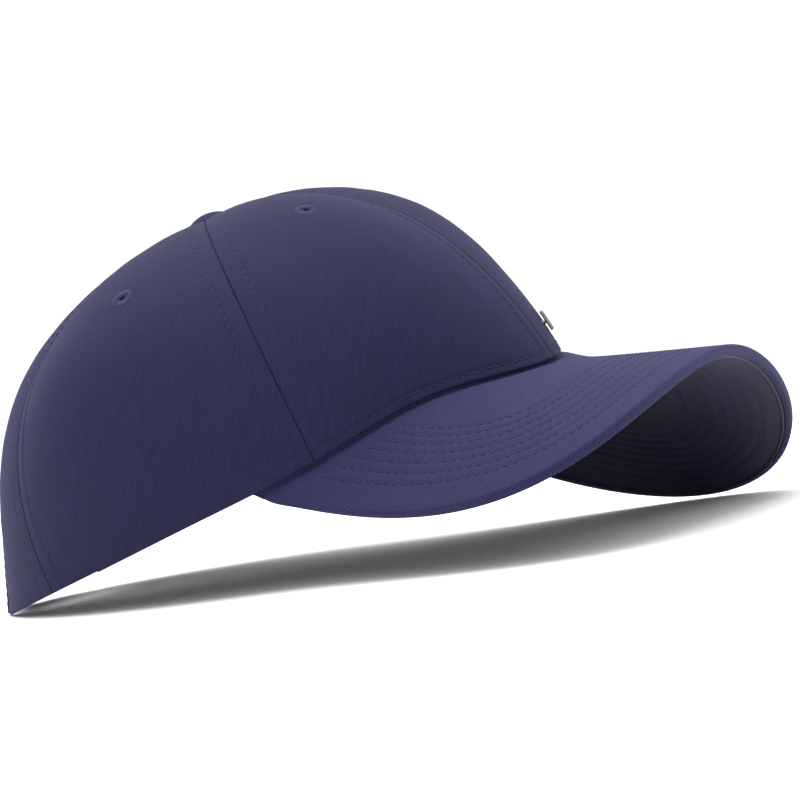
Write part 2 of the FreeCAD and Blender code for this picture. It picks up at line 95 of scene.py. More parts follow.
ROW_STEP = 0.8  # between the points that a sewn row follows
SIDES = (("right", 1.0), ("left", -1.0))

MOUNT = frame["record"]["mounts"][0]
NORMAL = -np.array(MOUNT["axis"])
ORIGIN = np.array(MOUNT["pos_m"])
LEAN, PITCH = math.asin(-NORMAL[0]), math.atan2(NORMAL[1], NORMAL[2])
TURN = np.array(Matrix.Rotation(-PITCH, 3, "X") @ Matrix.Rotation(-LEAN, 3, "Y"))


def to_row(points):
    """Hem frame in millimetres to the row frame in metres: turned as the cap stands, then moved to the
    head opening's mount."""
    return np.asarray(points) @ TURN.T * MM + ORIGIN


# ---------------------------------------------------------------- the crown as a surface

def hem_height(phi):
    """The hem dips at the front and rises a little over each temple: one Gaussian less the other."""
    a = np.abs((phi + 180.0) % 360.0 - 180.0)
    return 3.7 * np.exp(-((a - 43.0) / 18.0) ** 2) - 2.7 * np.exp(-(a / 22.0) ** 2)


def around(phi, name):
    """A shape value that goes from the side's to the front's or rear's by the squared cosine of the angle."""
    c = np.cos(np.radians(phi))
    return SIDE[name] + (np.where(c > 0, FRONT[name], REAR[name]) - SIDE[name]) * c * c


def puff_height(phi):
    """How far the cloth fills out between two seams: half a sine wave from seam to seam."""
    a = np.abs((phi + 180.0) % 360.0 - 180.0)
    front = FRONT_PUFF * np.sin(np.pi * a / FRONT_SEAM)
    side = BACK_PUFF * np.sin(np.pi * (a - FRONT_SEAM) / (REAR_SEAM - FRONT_SEAM))
    rear = BACK_PUFF * np.sin(np.pi * (a - REAR_SEAM) / (180.0 - REAR_SEAM))
    return np.where(a < FRONT_SEAM, front, np.where(a < REAR_SEAM, side, rear))


def flat(phi, run, depth=0.0):
    """Radius, height and outward direction on a crown line: a cubic Bezier from hem to button, moved along
    its own normal by puff less depth."""
    angle = np.radians(phi)
    hx, hy = -HALF_WIDTH * np.sin(angle), -HALF_LENGTH * np.cos(angle) - APEX_Y
    reach, low = np.hypot(hx, hy), hem_height(phi)
    flare, rise, shoulder = around(phi, "flare"), around(phi, "rise"), around(phi, "shoulder")
    q = 1.0 - run
    b1, b2 = 3 * q * q * run, 3 * q * run * run
    d1, d2, d3 = 3 * q * q, 6 * q * run, 3 * run * run
    slope_r = reach * (-d1 * flare + d2 * (shoulder - 1 + flare) - d3 * shoulder)
    slope_z = (HEIGHT - low) * (d1 * rise + d2 * (1 - rise))
    size = np.hypot(slope_r, slope_z)
    move = puff_height(phi) * np.sin(np.pi * np.clip(run, 0, 1)) - depth
    radius = reach * (q ** 3 + b1 * (1 - flare) + b2 * shoulder) + move * slope_z / size
    height = low + (HEIGHT - low) * (b1 * rise + b2 + run ** 3) - move * slope_r / size
    return radius, height, hx / reach, hy / reach


def crown(phi, run, depth=0.0):
    """A point of the crown: the button's axis plus radius times the outward direction, at its height."""
    radius, height, ox, oy = flat(phi, run, depth)
    return np.stack(np.broadcast_arrays(radius * ox, APEX_Y + radius * oy, height), -1)


def solve(phi, wanted, depth=0.0, by_height=True):
    """The run where each line reaches a height, or narrows to a radius, by halving."""
    low = np.full(np.broadcast(phi, wanted, depth).shape, -0.2)
    high = np.ones_like(low)
    for _ in range(34):
        mid = (low + high) / 2
        radius, height = flat(phi, mid, depth)[:2]
        past = height > wanted if by_height else radius < wanted
        low, high = np.where(past, low, mid), np.where(past, mid, high)
    return (low + high) / 2


def lengths(points):
    """Length along a line of points, from 0 at its start."""
    return np.concatenate([[0.0], np.cumsum(np.linalg.norm(np.diff(points, axis=0), axis=1))])


def unit(vectors):
    """The same directions, one long."""
    return vectors / np.linalg.norm(vectors, axis=-1, keepdims=True)


def crown_frame(phi, run, depth=0.0):
    """Points and the directions along the hem, up the crown and outwards, from small differences."""
    here = crown(phi, run, depth)
    up = unit(crown(phi, run + 0.004, depth) - here)
    out = unit(np.cross(crown(phi - 0.4, run, depth) - crown(phi + 0.4, run, depth), up))
    return here, np.cross(up, out), up, out


class CrownPatch:
    """Part of the crown between two angles and two heights, measured in millimetres across and up."""

    def __init__(self, first, last, low, high, high_is_radius=False, depth=0.0):
        self.last = last
        self.order = slice(None) if last > first else slice(None, None, -1)
        self.phis = np.linspace(first, last, 257)
        at = depth(self.phis) if callable(depth) else depth
        self.start = solve(self.phis, hem_height(self.phis) + low, at)
        self.stop = solve(self.phis, high, at, False) if high_is_radius else \
            solve(self.phis, hem_height(self.phis) + high, at)
        self.shares = np.linspace(0.0, 1.0, 129)
        middle = len(self.phis) // 2
        line = crown(self.phis[middle], self.start[middle] + (self.stop - self.start)[middle] * self.shares)
        self.climb = lengths(line)
        self.height = self.climb[-1]
        runs = self.start + (self.stop - self.start) * self.shares[:, None]
        net = crown(self.phis, runs)
        self.widths = np.linalg.norm(np.diff(net, axis=1), axis=2).sum(1)
        across = lengths(net[len(self.shares) // 3])
        self.across = across / across[-1]

    def width(self, v):
        """How wide the patch is at v up."""
        return np.interp(v, self.climb, self.widths)

    def at(self, phi, values):
        """One of the patch's per-angle values at phi."""
        return np.interp(phi, self.phis[self.order], values[self.order])

    def turn(self, u, v):
        """phi and run of the point u across and v up."""
        phi = np.interp(u / self.width(v), self.across, self.phis)
        share = np.interp(v, self.climb, self.shares)
        start, stop = self.at(phi, self.start), self.at(phi, self.stop)
        return phi, start + (stop - start) * share

    def spot(self, phi, run):
        """The reverse: how far across and up a point of the crown lies."""
        start, stop = self.at(phi, self.start), self.at(phi, self.stop)
        v = np.interp((run - start) / (stop - start), self.shares, self.climb)
        return self.at(phi, self.across) * self.width(v), v


# ---------------------------------------------------------------- grids, shells and pieces

EDGE_STEPS = np.array([0.0, 0.06, 0.2, 0.42, 0.75, 1.2, 1.9])
SEAM_STEPS = np.array([0, .05, .15, .3, .5, .8, 1.3, 2.0, 2.9, 3.7, 4.3, 4.7, 5.0, 5.3, 5.6, 5.9, 6.3, 6.9,
                       7.8])
HEM_STEPS = np.array([0, .06, .2, .4, .7, 1.1, 1.6, 2.0, 2.3, 2.6, 2.9, 3.2, 3.6, 4.2, 5.0])


def steps(width, border, count):
    """Positions from 0 to a width: the border's fixed steps near both ends, even steps between them."""
    width = np.asarray(width, float)[..., None]
    near = border * np.minimum(1.0, width / (2.5 * border[-1]))
    middle = near[..., -1:] + (width - 2 * near[..., -1:]) * np.arange(1, count) / count
    return np.concatenate([near, middle, width - near[..., ::-1]], -1)


def roll(distance, reach, drop):
    """How far cloth turns down towards its edge: a quarter ellipse reach wide and drop deep."""
    share = 1 - np.clip(distance / reach, 0, 1)
    return drop * (1 - np.sqrt(1 - share * share))


def dent(distance, width):
    """A soft dent, 1 at the middle: a Gaussian of the given width."""
    return np.exp(-(distance / width) ** 2)


def ripple(x, y, size, seed):
    """Soft unevenness between -1 and 1: the mean of six sine waves about size long, in seeded directions."""
    rng = np.random.default_rng(seed)
    angle, phase = rng.uniform(0, 2 * np.pi, (2, 6))
    length = size * rng.uniform(0.7, 1.7, 6)
    waves = (x[..., None] * np.cos(angle) + y[..., None] * np.sin(angle)) * 2 * np.pi / length + phase
    return np.sin(waves).mean(-1)


def quads_of(rows, columns, round_rows=False, round_columns=False):
    """The faces of a grid of vertices, as four indices each; a round grid joins its last line to its
    first."""
    i = np.arange(rows if round_rows else rows - 1)[:, None]
    j = np.arange(columns if round_columns else columns - 1)[None, :]
    down, right = (i + 1) % rows, (j + 1) % columns
    corners = (i * columns + j, i * columns + right, down * columns + right, down * columns + j)
    return np.stack(np.broadcast_arrays(*corners), -1).reshape(-1, 4)


def shell(outer, inner, uv, keep=None):
    """Closed cloth: the outer grid, the inner grid turned over, and a wall along every edge that only one
    face has."""
    rows, columns = outer.shape[:2]
    count = rows * columns
    quads = quads_of(rows, columns)
    if keep is not None:
        quads = quads[keep.ravel()]
    edges = np.stack([quads, np.roll(quads, -1, 1)], -1).reshape(-1, 2)
    rim = edges[~np.isin(edges[:, 0] * count + edges[:, 1], edges[:, 1] * count + edges[:, 0])]
    wall = np.stack([rim[:, 1], rim[:, 0], rim[:, 0] + count, rim[:, 1] + count], -1)
    faces = np.concatenate([quads, quads[:, ::-1] + count, wall])
    used, faces = np.unique(faces, return_inverse=True)
    points = np.concatenate([outer.reshape(-1, 3), inner.reshape(-1, 3)])[used]
    return points, faces.reshape(-1, 4), np.tile(uv.reshape(-1, 2), (2, 1))[used]


def volume(points, faces):
    """The signed volume inside a closed mesh: positive when its faces point outwards."""
    a, b, c, d = (points[faces[:, k]] for k in range(4))
    return (np.einsum("ij,ij->i", a, np.cross(b, c)) + np.einsum("ij,ij->i", a, np.cross(c, d))).sum()


def joined(parts):
    """Several closed meshes as one: (points, faces, uv) with the indices moved on."""
    ends = np.cumsum([0] + [len(p[0]) for p in parts[:-1]])
    outward = [p[1] if volume(p[0], p[1]) > 0 else p[1][:, ::-1] for p in parts]
    return (np.concatenate([p[0] for p in parts]),
            np.concatenate([f + e for f, e in zip(outward, ends)]),
            np.concatenate([p[2] for p in parts]))


def piece(name, made, material, body="cap", stands_for=(), sharp=60.0):
    """A finished piece: the mesh in the row frame at the origin, doubles merged, smooth except at sharp
    edges, riding on a CAD body when body is a name; any other body leaves it in place with its transform
    baked."""
    points, faces, uv = made
    if volume(points, faces) < 0:
        faces = faces[:, ::-1]
    mesh = bpy.data.meshes.new(name)
    mesh.vertices.add(len(points))
    mesh.vertices.foreach_set("co", to_row(points).astype(np.float32).ravel())
    mesh.loops.add(faces.size)
    mesh.loops.foreach_set("vertex_index", faces.astype(np.int32).ravel())
    mesh.polygons.add(len(faces))
    mesh.polygons.foreach_set("loop_start", np.arange(0, faces.size, 4, dtype=np.int32))
    mesh.update(calc_edges=True)
    layer = mesh.uv_layers.new(name="ClothUV")
    layer.data.foreach_set("uv", (uv[faces.ravel()] * MM).astype(np.float32).ravel())
    work = bmesh.new()
    work.from_mesh(mesh)
    bmesh.ops.remove_doubles(work, verts=work.verts, dist=2e-6)
    work.to_mesh(mesh)
    work.free()
    mesh.shade_smooth()
    mesh.set_sharp_from_angle(angle=math.radians(sharp))
    made_object = bpy.data.objects.new(name, mesh)
    bpy.context.scene.collection.objects.link(made_object)
    mesh.materials.append(material)
    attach(made_object, body) if isinstance(body, str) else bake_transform(made_object)
    if stands_for:
        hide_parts(*stands_for)
    return made_object


def cloth_layer(patch, depth, cloth, columns, rows, border=EDGE_STEPS, border_up=EDGE_STEPS,
                turned=(None, None),
                relief=None, holes=(), round_end=0.0, opening=False):
    """A layer of cloth over part of the crown.

    The outer face lies at depth plus the turned edge less the relief, the inner face a cloth's thickness
    further in, and both meet in a
    rounded edge. Grid points inside a hole are moved to its rim, and faces wholly inside it are left out.
    """
    v = steps(patch.height, border_up, rows)
    u = steps(patch.width(v), border, columns)
    v = np.broadcast_to(v[:, None], u.shape)
    width = np.broadcast_to(patch.width(v[:, :1]), u.shape)
    edge = np.minimum(np.minimum(u, width - u), np.minimum(v, patch.height - v))
    keep = np.ones((u.shape[0] - 1, u.shape[1] - 1), bool)
    for phi, run, radius in holes:
        hu, hv = patch.spot(phi, run)
        du, dv = u - hu, v - hv
        far = np.hypot(du, dv)
        inside = far < radius * 1.15
        outside = ~inside
        keep &= outside[1:, 1:] | outside[:-1, 1:] | outside[1:, :-1] | outside[:-1, :-1]
        scale = np.where(inside, radius / np.maximum(far, 1e-6), 1.0)
        u, v = hu + du * scale, hv + dv * scale
    if opening:
        line_u, line_v = patch.spot(*arch_line(0.0, np.linspace(0.0, 1.0, 500), patch.last < 0)[:2])
        spots = crown(*patch.turn(u, v))
        gap = arch_distance(spots[..., 0], spots[..., 2])
        inside = gap < 0.3
        keep &= ~(inside[1:, 1:] & inside[:-1, 1:] & inside[1:, :-1] & inside[:-1, :-1])
        rim = inside & (gap > -6.0)
        nearest = np.hypot(u[rim][:, None] - line_u, v[rim][:, None] - line_v).argmin(1)
        u, v = u.copy(), v.copy()
        u[rim], v[rim] = line_u[nearest], line_v[nearest]
    if round_end:
        half = patch.height / 2
        left = round_end - np.clip(u, 0, round_end)
        short = (half - round_end + np.sqrt(round_end ** 2 - left ** 2)) / half
        v = half + (v - half) * short
    phi, run = patch.turn(u, v)
    base = depth(phi) if callable(depth) else depth
    reach, drop = turned
    reach, drop = reach or cloth * 0.5, drop or cloth * 0.49
    lift = relief(u, v, width) if relief else 0.0
    outer = crown(phi, run, base + roll(edge, reach, drop) - lift)
    inner = crown(phi, run, base + cloth - roll(edge, cloth * 0.5, cloth * 0.98 - drop))
    return shell(outer, inner, np.stack([u - width / 2, v], -1), keep)


def stitches(paths, length, pitch, thread):
    """Sewn rows: along each path, threads that come up, lie on the cloth and go down again.

    A path is points and outward normals. Each stitch is a spindle: six rings of six points whose radius
    grows and shrinks along it, on
    an arc that ends inside the cloth.
    """
    along = np.array([-1.0, -0.78, -0.35, 0.35, 0.78, 1.0])
    thick = np.array([0.0, 0.75, 1.0, 1.0, 0.75, 0.0])
    arc = np.array([-1.1, -0.35, 0.45, 0.45, -0.35, -1.1])
    angle = np.arange(6) * np.pi / 3
    rings = quads_of(6, 6, round_columns=True)
    made = []
    for points, normals in paths:
        far = lengths(points)
        middles = np.arange(pitch / 2, far[-1] - pitch / 2, pitch)
        if not len(middles):
            continue
        where = [np.stack([np.interp(middles + side * length / 2, far, points[:, k]) for k in range(3)], -1)
                 for side in (-1, 1)]
        out = unit(np.stack([np.interp(middles, far, normals[:, k]) for k in range(3)], -1))
        centre, reach = (where[0] + where[1]) / 2, (where[1] - where[0]) / 2
        side = unit(np.cross(reach, out))
        radius = thread / 2
        spots = (centre[:, None, None] + reach[:, None, None] * along[:, None, None]
                 + side[:, None, None] * (thick[:, None] * np.cos(angle))[..., None] * radius
                 + out[:, None, None] * ((thick[:, None] * np.sin(angle)) + arc[:, None])[..., None] * radius)
        count = len(middles)
        faces = rings[None] + np.arange(count)[:, None, None] * 36
        uv = np.broadcast_to(np.stack(np.broadcast_arrays(along[:, None] * length, angle * radius), -1),
                             (count, 6, 6, 2))
        made.append((spots.reshape(-1, 3), faces.reshape(-1, 4), uv.reshape(-1, 2)))
    return joined(made)


def crown_path(patch, u, v, lift):
    """A sewn row on a crown patch: its points a little above the cloth, and the crown's outward
    directions."""
    phi, run = patch.turn(u, v)
    points, _, _, out = crown_frame(phi, run, 0.0)
    return points + out * np.asarray(lift)[..., None], out


# ---------------------------------------------------------------- the back opening

def arch_distance(x, z):
    """How far outside the back opening a point lies, seen from behind: straight sides below a half circle."""
    shoulder = ARCH_HEIGHT - ARCH_HALF
    return np.where(z < shoulder, np.abs(x) - ARCH_HALF, np.hypot(x, z - shoulder) - ARCH_HALF)


def arch_line(offset, share, left=None, depth=0.0):
    """phi and run of points along the opening's edge, offset outwards, by Newton steps on their x and z.

    share goes from 0 at the wearer's right foot of the arch to 1 at the left foot, or over one half only.
    """
    shoulder = ARCH_HEIGHT - ARCH_HALF
    if left is not None:
        share = share / 2 if not left else 1 - share / 2
    total = 2 * (shoulder + 2) + np.pi * ARCH_HALF
    far = share * total
    angle = np.clip((far - shoulder - 2) / ARCH_HALF, 0, np.pi)
    x = -(ARCH_HALF + offset) * np.cos(angle)
    fall = np.where(angle <= 0, shoulder + 2 - far, np.where(angle >= np.pi, far - total + shoulder + 2, 0.0))
    z = shoulder + (ARCH_HALF + offset) * np.sin(angle) - fall
    x, z = np.broadcast_arrays(x, z)
    phi = 180.0 + np.degrees(np.arcsin(np.clip(x / HALF_WIDTH, -1, 1)))
    run = np.clip(z / 100.0, 0.01, 0.6)
    for _ in range(12):
        here = crown(phi, run, depth)
        a = (crown(phi + 0.01, run, depth) - here) / 0.01
        b = (crown(phi, run + 1e-4, depth) - here) / 1e-4
        dx, dz = x - here[..., 0], z - here[..., 2]
        det = a[..., 0] * b[..., 2] - b[..., 0] * a[..., 2]
        phi = phi + (dx * b[..., 2] - dz * b[..., 0]) / det
        run = run + (a[..., 0] * dz - a[..., 2] * dx) / det
    if left:
        phi = phi - 360.0
    return phi, run


# ---------------------------------------------------------------- the visor as a surface

def visor_inner(place):
    """The sewn edge just under the hem, from -1 at the left end to 1 at the right."""
    phi = place * VISOR_END
    radius, height, ox, oy = flat(phi, solve(phi, hem_height(phi)))
    return np.stack([(radius - 1) * ox, APEX_Y + (radius - 1) * oy, height - VISOR_BELOW], -1)


VISOR_POLE_LIST = np.array(VISOR_POLES + [tuple(visor_inner(np.array(1.0)))])


def visor_outer(place):
    """The free edge: a Bezier with five poles for each half, sheared so that it sits twisted."""
    share, side = np.abs(place), np.where(place < 0, -1.0, 1.0)
    spot = sum(pole * (math.comb(4, i) * (1 - share) ** (4 - i) * share ** i)[..., None]
               for i, pole in enumerate(VISOR_POLE_LIST))
    x = spot[..., 0] * side
    shear = x * math.tan(math.radians(VISOR_TWIST)) * (1 - share ** 3)
    return np.stack([x, spot[..., 1], spot[..., 2] - shear], -1)


class Visor:
    """The visor's ruled mid surface: a point is d in from the free edge and h above the surface."""

    def __init__(self, place):
        self.inner, self.outer = visor_inner(place), visor_outer(place)
        self.ruling = unit(self.outer - self.inner)
        length = np.linalg.norm(self.outer - self.inner, axis=-1)
        ahead, behind = place + 0.004, place - 0.004
        edge = unit(visor_outer(ahead) - visor_outer(behind))
        along = visor_outer(ahead) + visor_inner(ahead) - visor_outer(behind) - visor_inner(behind)
        up = unit(np.cross(self.ruling, along))
        self.up = up * np.where(up[..., 2:] > 0, 1.0, -1.0)
        self.slant = np.linalg.norm(np.cross(self.ruling, edge), axis=-1)
        self.depth = length * self.slant
        self.flat_inner, self.flat_outer = developed(self.inner, self.outer)
        self.length = length

    def cloth(self, d):
        """Flat cloth coordinates, in millimetres, of points d in from the free edge."""
        share = (d / self.slant[:, None] / self.length[:, None])[..., None]
        return self.flat_outer[:, None] + (self.flat_inner - self.flat_outer)[:, None] * share

    def point(self, d, h):
        """d is rows of places by columns, h the same or one number."""
        back = (d / self.slant[:, None])[..., None]
        return self.outer[:, None] - self.ruling[:, None] * back + self.up[:, None] * np.asarray(h)[..., None]


def visor_places(count, reach=0.998):
    """Places along the visor, evenly spaced by length of the free edge."""
    fine = np.linspace(-reach, reach, 1201)
    far = lengths(visor_outer(fine))
    return np.interp(np.linspace(0, far[-1], count), far, fine)


def visor_depths(depth, first, count, rows_reach=45.0):
    """Distances in from the free edge: the same steps as far in as the sewn rows go where the visor is
    deep enough, and even steps behind."""
    turn_at = 0.7
    whole = rows_reach / turn_at
    zone = np.minimum(depth, whole)[:, None]
    start = first[:, None] / zone
    s = start + (1 - start) * np.arange(count + 1) / count
    behind = rows_reach + (depth[:, None] - rows_reach) * (s - turn_at) / (1 - turn_at)
    return np.where((depth[:, None] > whole) & (s > turn_at), behind, zone * s)


def apex(a, b, from_a, from_b, side):
    """The flat point at given distances from a and b, on the given side of the line from a to b."""
    line = b - a
    size = math.hypot(*line)
    along = (from_a ** 2 - from_b ** 2 + size ** 2) / (2 * size)
    off = math.sqrt(max(from_a ** 2 - along ** 2, 0.0))
    return a + (line * along + np.array([-line[1], line[0]]) * off * side) / size


def developed(inner, outer):
    """The ruled surface laid flat: strip by strip from the middle ruling, each triangle keeping its three
    lengths."""
    count, middle = len(inner), len(inner) // 2
    flat_in, flat_out = np.zeros((count, 2)), np.zeros((count, 2))
    flat_out[middle] = 0.0, -np.linalg.norm(outer[middle] - inner[middle])
    for way in (1, -1):
        for i in range(middle, count - 1 if way > 0 else 0, way):
            j = i + way
            far = [np.linalg.norm(a - b) for a, b in ((outer[j], inner[i]), (outer[j], outer[i]),
                                                      (inner[j], inner[i]), (inner[j], outer[j]))]
            flat_out[j] = apex(flat_in[i], flat_out[i], far[0], far[1], way)
            flat_in[j] = apex(flat_in[i], flat_out[j], far[2], far[3], way)
    return flat_in, flat_out


# ---------------------------------------------------------------- settings

def linear(text):
    """An sRGB hex colour as linear red, green, blue and alpha."""
    values = [int(text[i:i + 2], 16) / 255 for i in (1, 3, 5)]
    return [v / 12.92 if v <= 0.04045 else ((v + 0.055) / 1.055) ** 2.4 for v in values] + [1.0]


def length_setting(name, description, default_mm):
    return bpy.props.FloatProperty(name=name, description=description, default=default_mm * MM,
                                   unit="LENGTH", min=0.0)


def colour_setting(name, description, default):
    return bpy.props.FloatVectorProperty(name=name, description=description, default=linear(default), size=4,
                                         subtype="COLOR")


class CapSizes(bpy.types.PropertyGroup):
    """Sizes of the sewing that a user may change."""
    stitch_length: length_setting("Stitch", "Length of one topstitch that shows", 2.3)
    stitch_pitch: length_setting("Pitch", "Distance from one topstitch to the next", 3.0)
    thread: length_setting("Thread", "Thickness of the sewing thread", 0.34)
    seam_row: length_setting("Seam row", "Distance of the topstitching from a seam", 5.5)
    hem_row: length_setting("Hem row", "Distance of the topstitching from the hem", 2.7)
    visor_row: length_setting("Visor row", "Distance between two sewn rows of the visor", 4.3)
    visor_first: length_setting("First visor row", "Distance of the outermost row from the visor's edge",
                                10.0)
    visor_rows: bpy.props.IntProperty(name="Visor rows", description="How many rows are sewn on the visor",
                                      default=7, min=1, max=12)
    groove: length_setting("Groove", "How far a sewn row pulls the cloth in", 0.2)


class CapColours(bpy.types.PropertyGroup):
    """Colours of the cloths and the hard parts."""
    crown: colour_setting("Crown", "Twill of the crown", "#171634")
    # Painted light: the visor's upper side is given a lighter colour than the crown's twill, for light
    # falling on it from above.
    visor: colour_setting("Visor", "Twill of the visor's upper side", "#1D1C3F")
    # Painted shade: the cloth under the visor is darker than the visor's upper side, partly its own colour
    # and partly shade of the underside.
    under: colour_setting("Under-visor", "Cloth under the visor", "#1D1A2A")
    # Painted light: the thread is a little lighter than the crown's twill, to offset the shade of the grooves
    # it lies in.
    thread: colour_setting("Thread", "Sewing thread", "#1D1B40")
    tape: colour_setting("Tape", "Seam tape and binding", "#26253A")
    sweatband: colour_setting("Sweatband", "Cotton of the sweatband", "#2A2A3C")
    lining: colour_setting("Lining", "Non-woven lining", "#3A3A44")
    buckram: colour_setting("Buckram", "Stiffened open weave", "#C9C8C0")
    label: colour_setting("Label", "Satin label", "#D8D7D2")
    fastener: colour_setting("Fastener", "Nylon hook and loop tape", "#222030")
    metal: colour_setting("Metal", "Pressed aluminium", "#B5B5B8")
    badge: colour_setting("Badge", "Nickel-plated brass", "#7A7874")
    board: colour_setting("Board", "Natural polyethylene", "#D9D8D2")
    floor: colour_setting("Floor", "Pale studio floor", "#F8F8F8")


# ---------------------------------------------------------------- materials

def node(tree, kind, inputs=(), **settings):
    """Adds one node. settings are its properties; inputs pairs a socket with a value or with another
    node's output."""
    made = tree.nodes.new("ShaderNode" + kind)
    for key, value in settings.items():
        setattr(made, key, value)
    for key, value in dict(inputs).items():
        if isinstance(value, bpy.types.NodeSocket):
            tree.links.new(value, made.inputs[key])
        else:
            made.inputs[key].default_value = value
    return made


def shades(colour, low, high):
    """A colour made darker and lighter."""
    return [[c * k for c in colour[:3]] + [1.0] for k in (low, high)]


def start_material(name):
    """An empty material with its output and principled shader."""
    old = bpy.data.materials.get(name)
    if old:
        return old, None, None
    material = bpy.data.materials.new(name)
    material.use_nodes = True
    tree = material.node_tree
    tree.nodes.clear()
    shader = node(tree, "BsdfPrincipled")
    node(tree, "OutputMaterial", {"Surface": shader.outputs[0]})
    return material, tree, shader


WAVE_PERIOD = 2 * math.pi / 20  # a Wave texture's period at scale 1


def woven(name, colour, rib_mm, rib_angle, depth_mm, contrast=0.25, streak_mm=0.6, streak=0.15,
          roughness=0.8, sheen=0.2, weft_mm=0.0):
    """Woven cloth on the piece's own flat coordinates: ribs at an angle, crossed by weft threads, over
    uneven yarn and cloudy dye.

    The ribs are a sine wave with the rib's width as its period. Uneven yarn is noise drawn out along the
    ribs. Both change colour and height.
    """
    material, tree, shader = start_material(name)
    if tree is None:
        return material
    uv = node(tree, "UVMap", uv_map="ClothUV")
    turned = node(tree, "Mapping", {"Vector": uv.outputs[0], "Rotation": (0, 0, math.radians(rib_angle))})
    wobble = node(tree, "TexNoise", {"Vector": turned.outputs[0], "Scale": 1 / (6 * MM), "Detail": 2.0})
    shift = node(tree, "VectorMath", {0: wobble.outputs["Color"], 1: (0.15 * rib_mm * MM,) * 3},
                 operation="MULTIPLY")
    moved = node(tree, "VectorMath", {0: turned.outputs[0], 1: shift.outputs[0]}, operation="ADD")
    rib = node(tree, "TexWave", {"Vector": moved.outputs[0], "Scale": WAVE_PERIOD / (rib_mm * MM),
                                 "Distortion": 0.0},
               wave_type="BANDS", bands_direction="X")
    drawn = node(tree, "Mapping", {"Vector": turned.outputs[0], "Scale": (1.0, 0.05, 1.0)})
    yarn = node(tree, "TexNoise", {"Vector": drawn.outputs[0], "Scale": 1 / (streak_mm * MM), "Detail": 4.0,
                                   "Roughness": 0.75})
    cloud = node(tree, "TexNoise", {"Vector": uv.outputs[0], "Scale": 1 / (14 * MM), "Detail": 3.0})
    low, high = shades(colour, 1 - contrast, 1 + contrast)
    ribbed = node(tree, "Mix", {0: rib.outputs["Fac"], 6: low, 7: high}, data_type="RGBA")
    dim, bright = shades([1, 1, 1], 1 - streak, 1 + streak)
    uneven = node(tree, "Mix", {0: yarn.outputs["Fac"], 6: dim, 7: bright}, data_type="RGBA")
    both = node(tree, "Mix", {0: 1.0, 6: ribbed.outputs[2], 7: uneven.outputs[2]}, data_type="RGBA",
                blend_type="MULTIPLY")
    dim, bright = shades([1, 1, 1], 0.9, 1.1)
    cloudy = node(tree, "Mix", {0: cloud.outputs["Fac"], 6: dim, 7: bright}, data_type="RGBA")
    final = node(tree, "Mix", {0: 1.0, 6: both.outputs[2], 7: cloudy.outputs[2]}, data_type="RGBA",
                 blend_type="MULTIPLY")
    height = node(tree, "Math", {0: rib.outputs["Fac"], 1: yarn.outputs["Fac"]}, operation="ADD")
    if weft_mm:
        weft = node(tree, "TexWave", {"Vector": moved.outputs[0], "Scale": WAVE_PERIOD / (weft_mm * MM)},
                    wave_type="BANDS", bands_direction="Y")
        height = node(tree, "Math", {0: height.outputs[0], 1: weft.outputs["Fac"]}, operation="ADD")
    bump = node(tree, "Bump", {"Height": height.outputs[0], "Distance": depth_mm * MM, "Strength": 1.0})
    rough = node(tree, "MapRange", {"Value": yarn.outputs["Fac"], "To Min": roughness - 0.06,
                                    "To Max": roughness + 0.08})
    tree.links.new(final.outputs[2], shader.inputs["Base Color"])
    tree.links.new(rough.outputs[0], shader.inputs["Roughness"])
    tree.links.new(bump.outputs[0], shader.inputs["Normal"])
    shader.inputs["Sheen Weight"].default_value = sheen
    shader.inputs["Sheen Roughness"].default_value = 0.45
    tint = [min(1.0, c / max(colour[:3]) * 0.75 + 0.25) for c in colour[:3]]
    shader.inputs["Sheen Tint"].default_value = tint + [1.0]
    shader.inputs["Specular IOR Level"].default_value = 0.2
    return material


def fibrous(name, colour, grain_mm, depth_mm, roughness=0.9, sheen=0.3):
    """Unwoven or napped cloth and moulded plastic: fine grain from two noises in real size, on object
    coordinates."""
    material, tree, shader = start_material(name)
    if tree is None:
        return material
    place = node(tree, "TexCoord")
    grain = node(tree, "TexNoise", {"Vector": place.outputs["Object"], "Scale": 1 / (grain_mm * MM),
                                    "Detail": 4.0})
    cloud = node(tree, "TexNoise", {"Vector": place.outputs["Object"], "Scale": 1 / (18 * MM), "Detail": 2.0})
    low, high = shades(colour, 0.8, 1.2)
    tint = node(tree, "Mix", {0: grain.outputs["Fac"], 6: low, 7: high}, data_type="RGBA")
    dim, bright = shades([1, 1, 1], 0.88, 1.1)
    cloudy = node(tree, "Mix", {0: cloud.outputs["Fac"], 6: dim, 7: bright}, data_type="RGBA")
    final = node(tree, "Mix", {0: 1.0, 6: tint.outputs[2], 7: cloudy.outputs[2]}, data_type="RGBA",
                 blend_type="MULTIPLY")
    bump = node(tree, "Bump", {"Height": grain.outputs["Fac"], "Distance": depth_mm * MM, "Strength": 1.0})
    tree.links.new(final.outputs[2], shader.inputs["Base Color"])
    tree.links.new(bump.outputs[0], shader.inputs["Normal"])
    shader.inputs["Roughness"].default_value = roughness
    shader.inputs["Sheen Weight"].default_value = sheen
    shader.inputs["Specular IOR Level"].default_value = 0.35
    return material


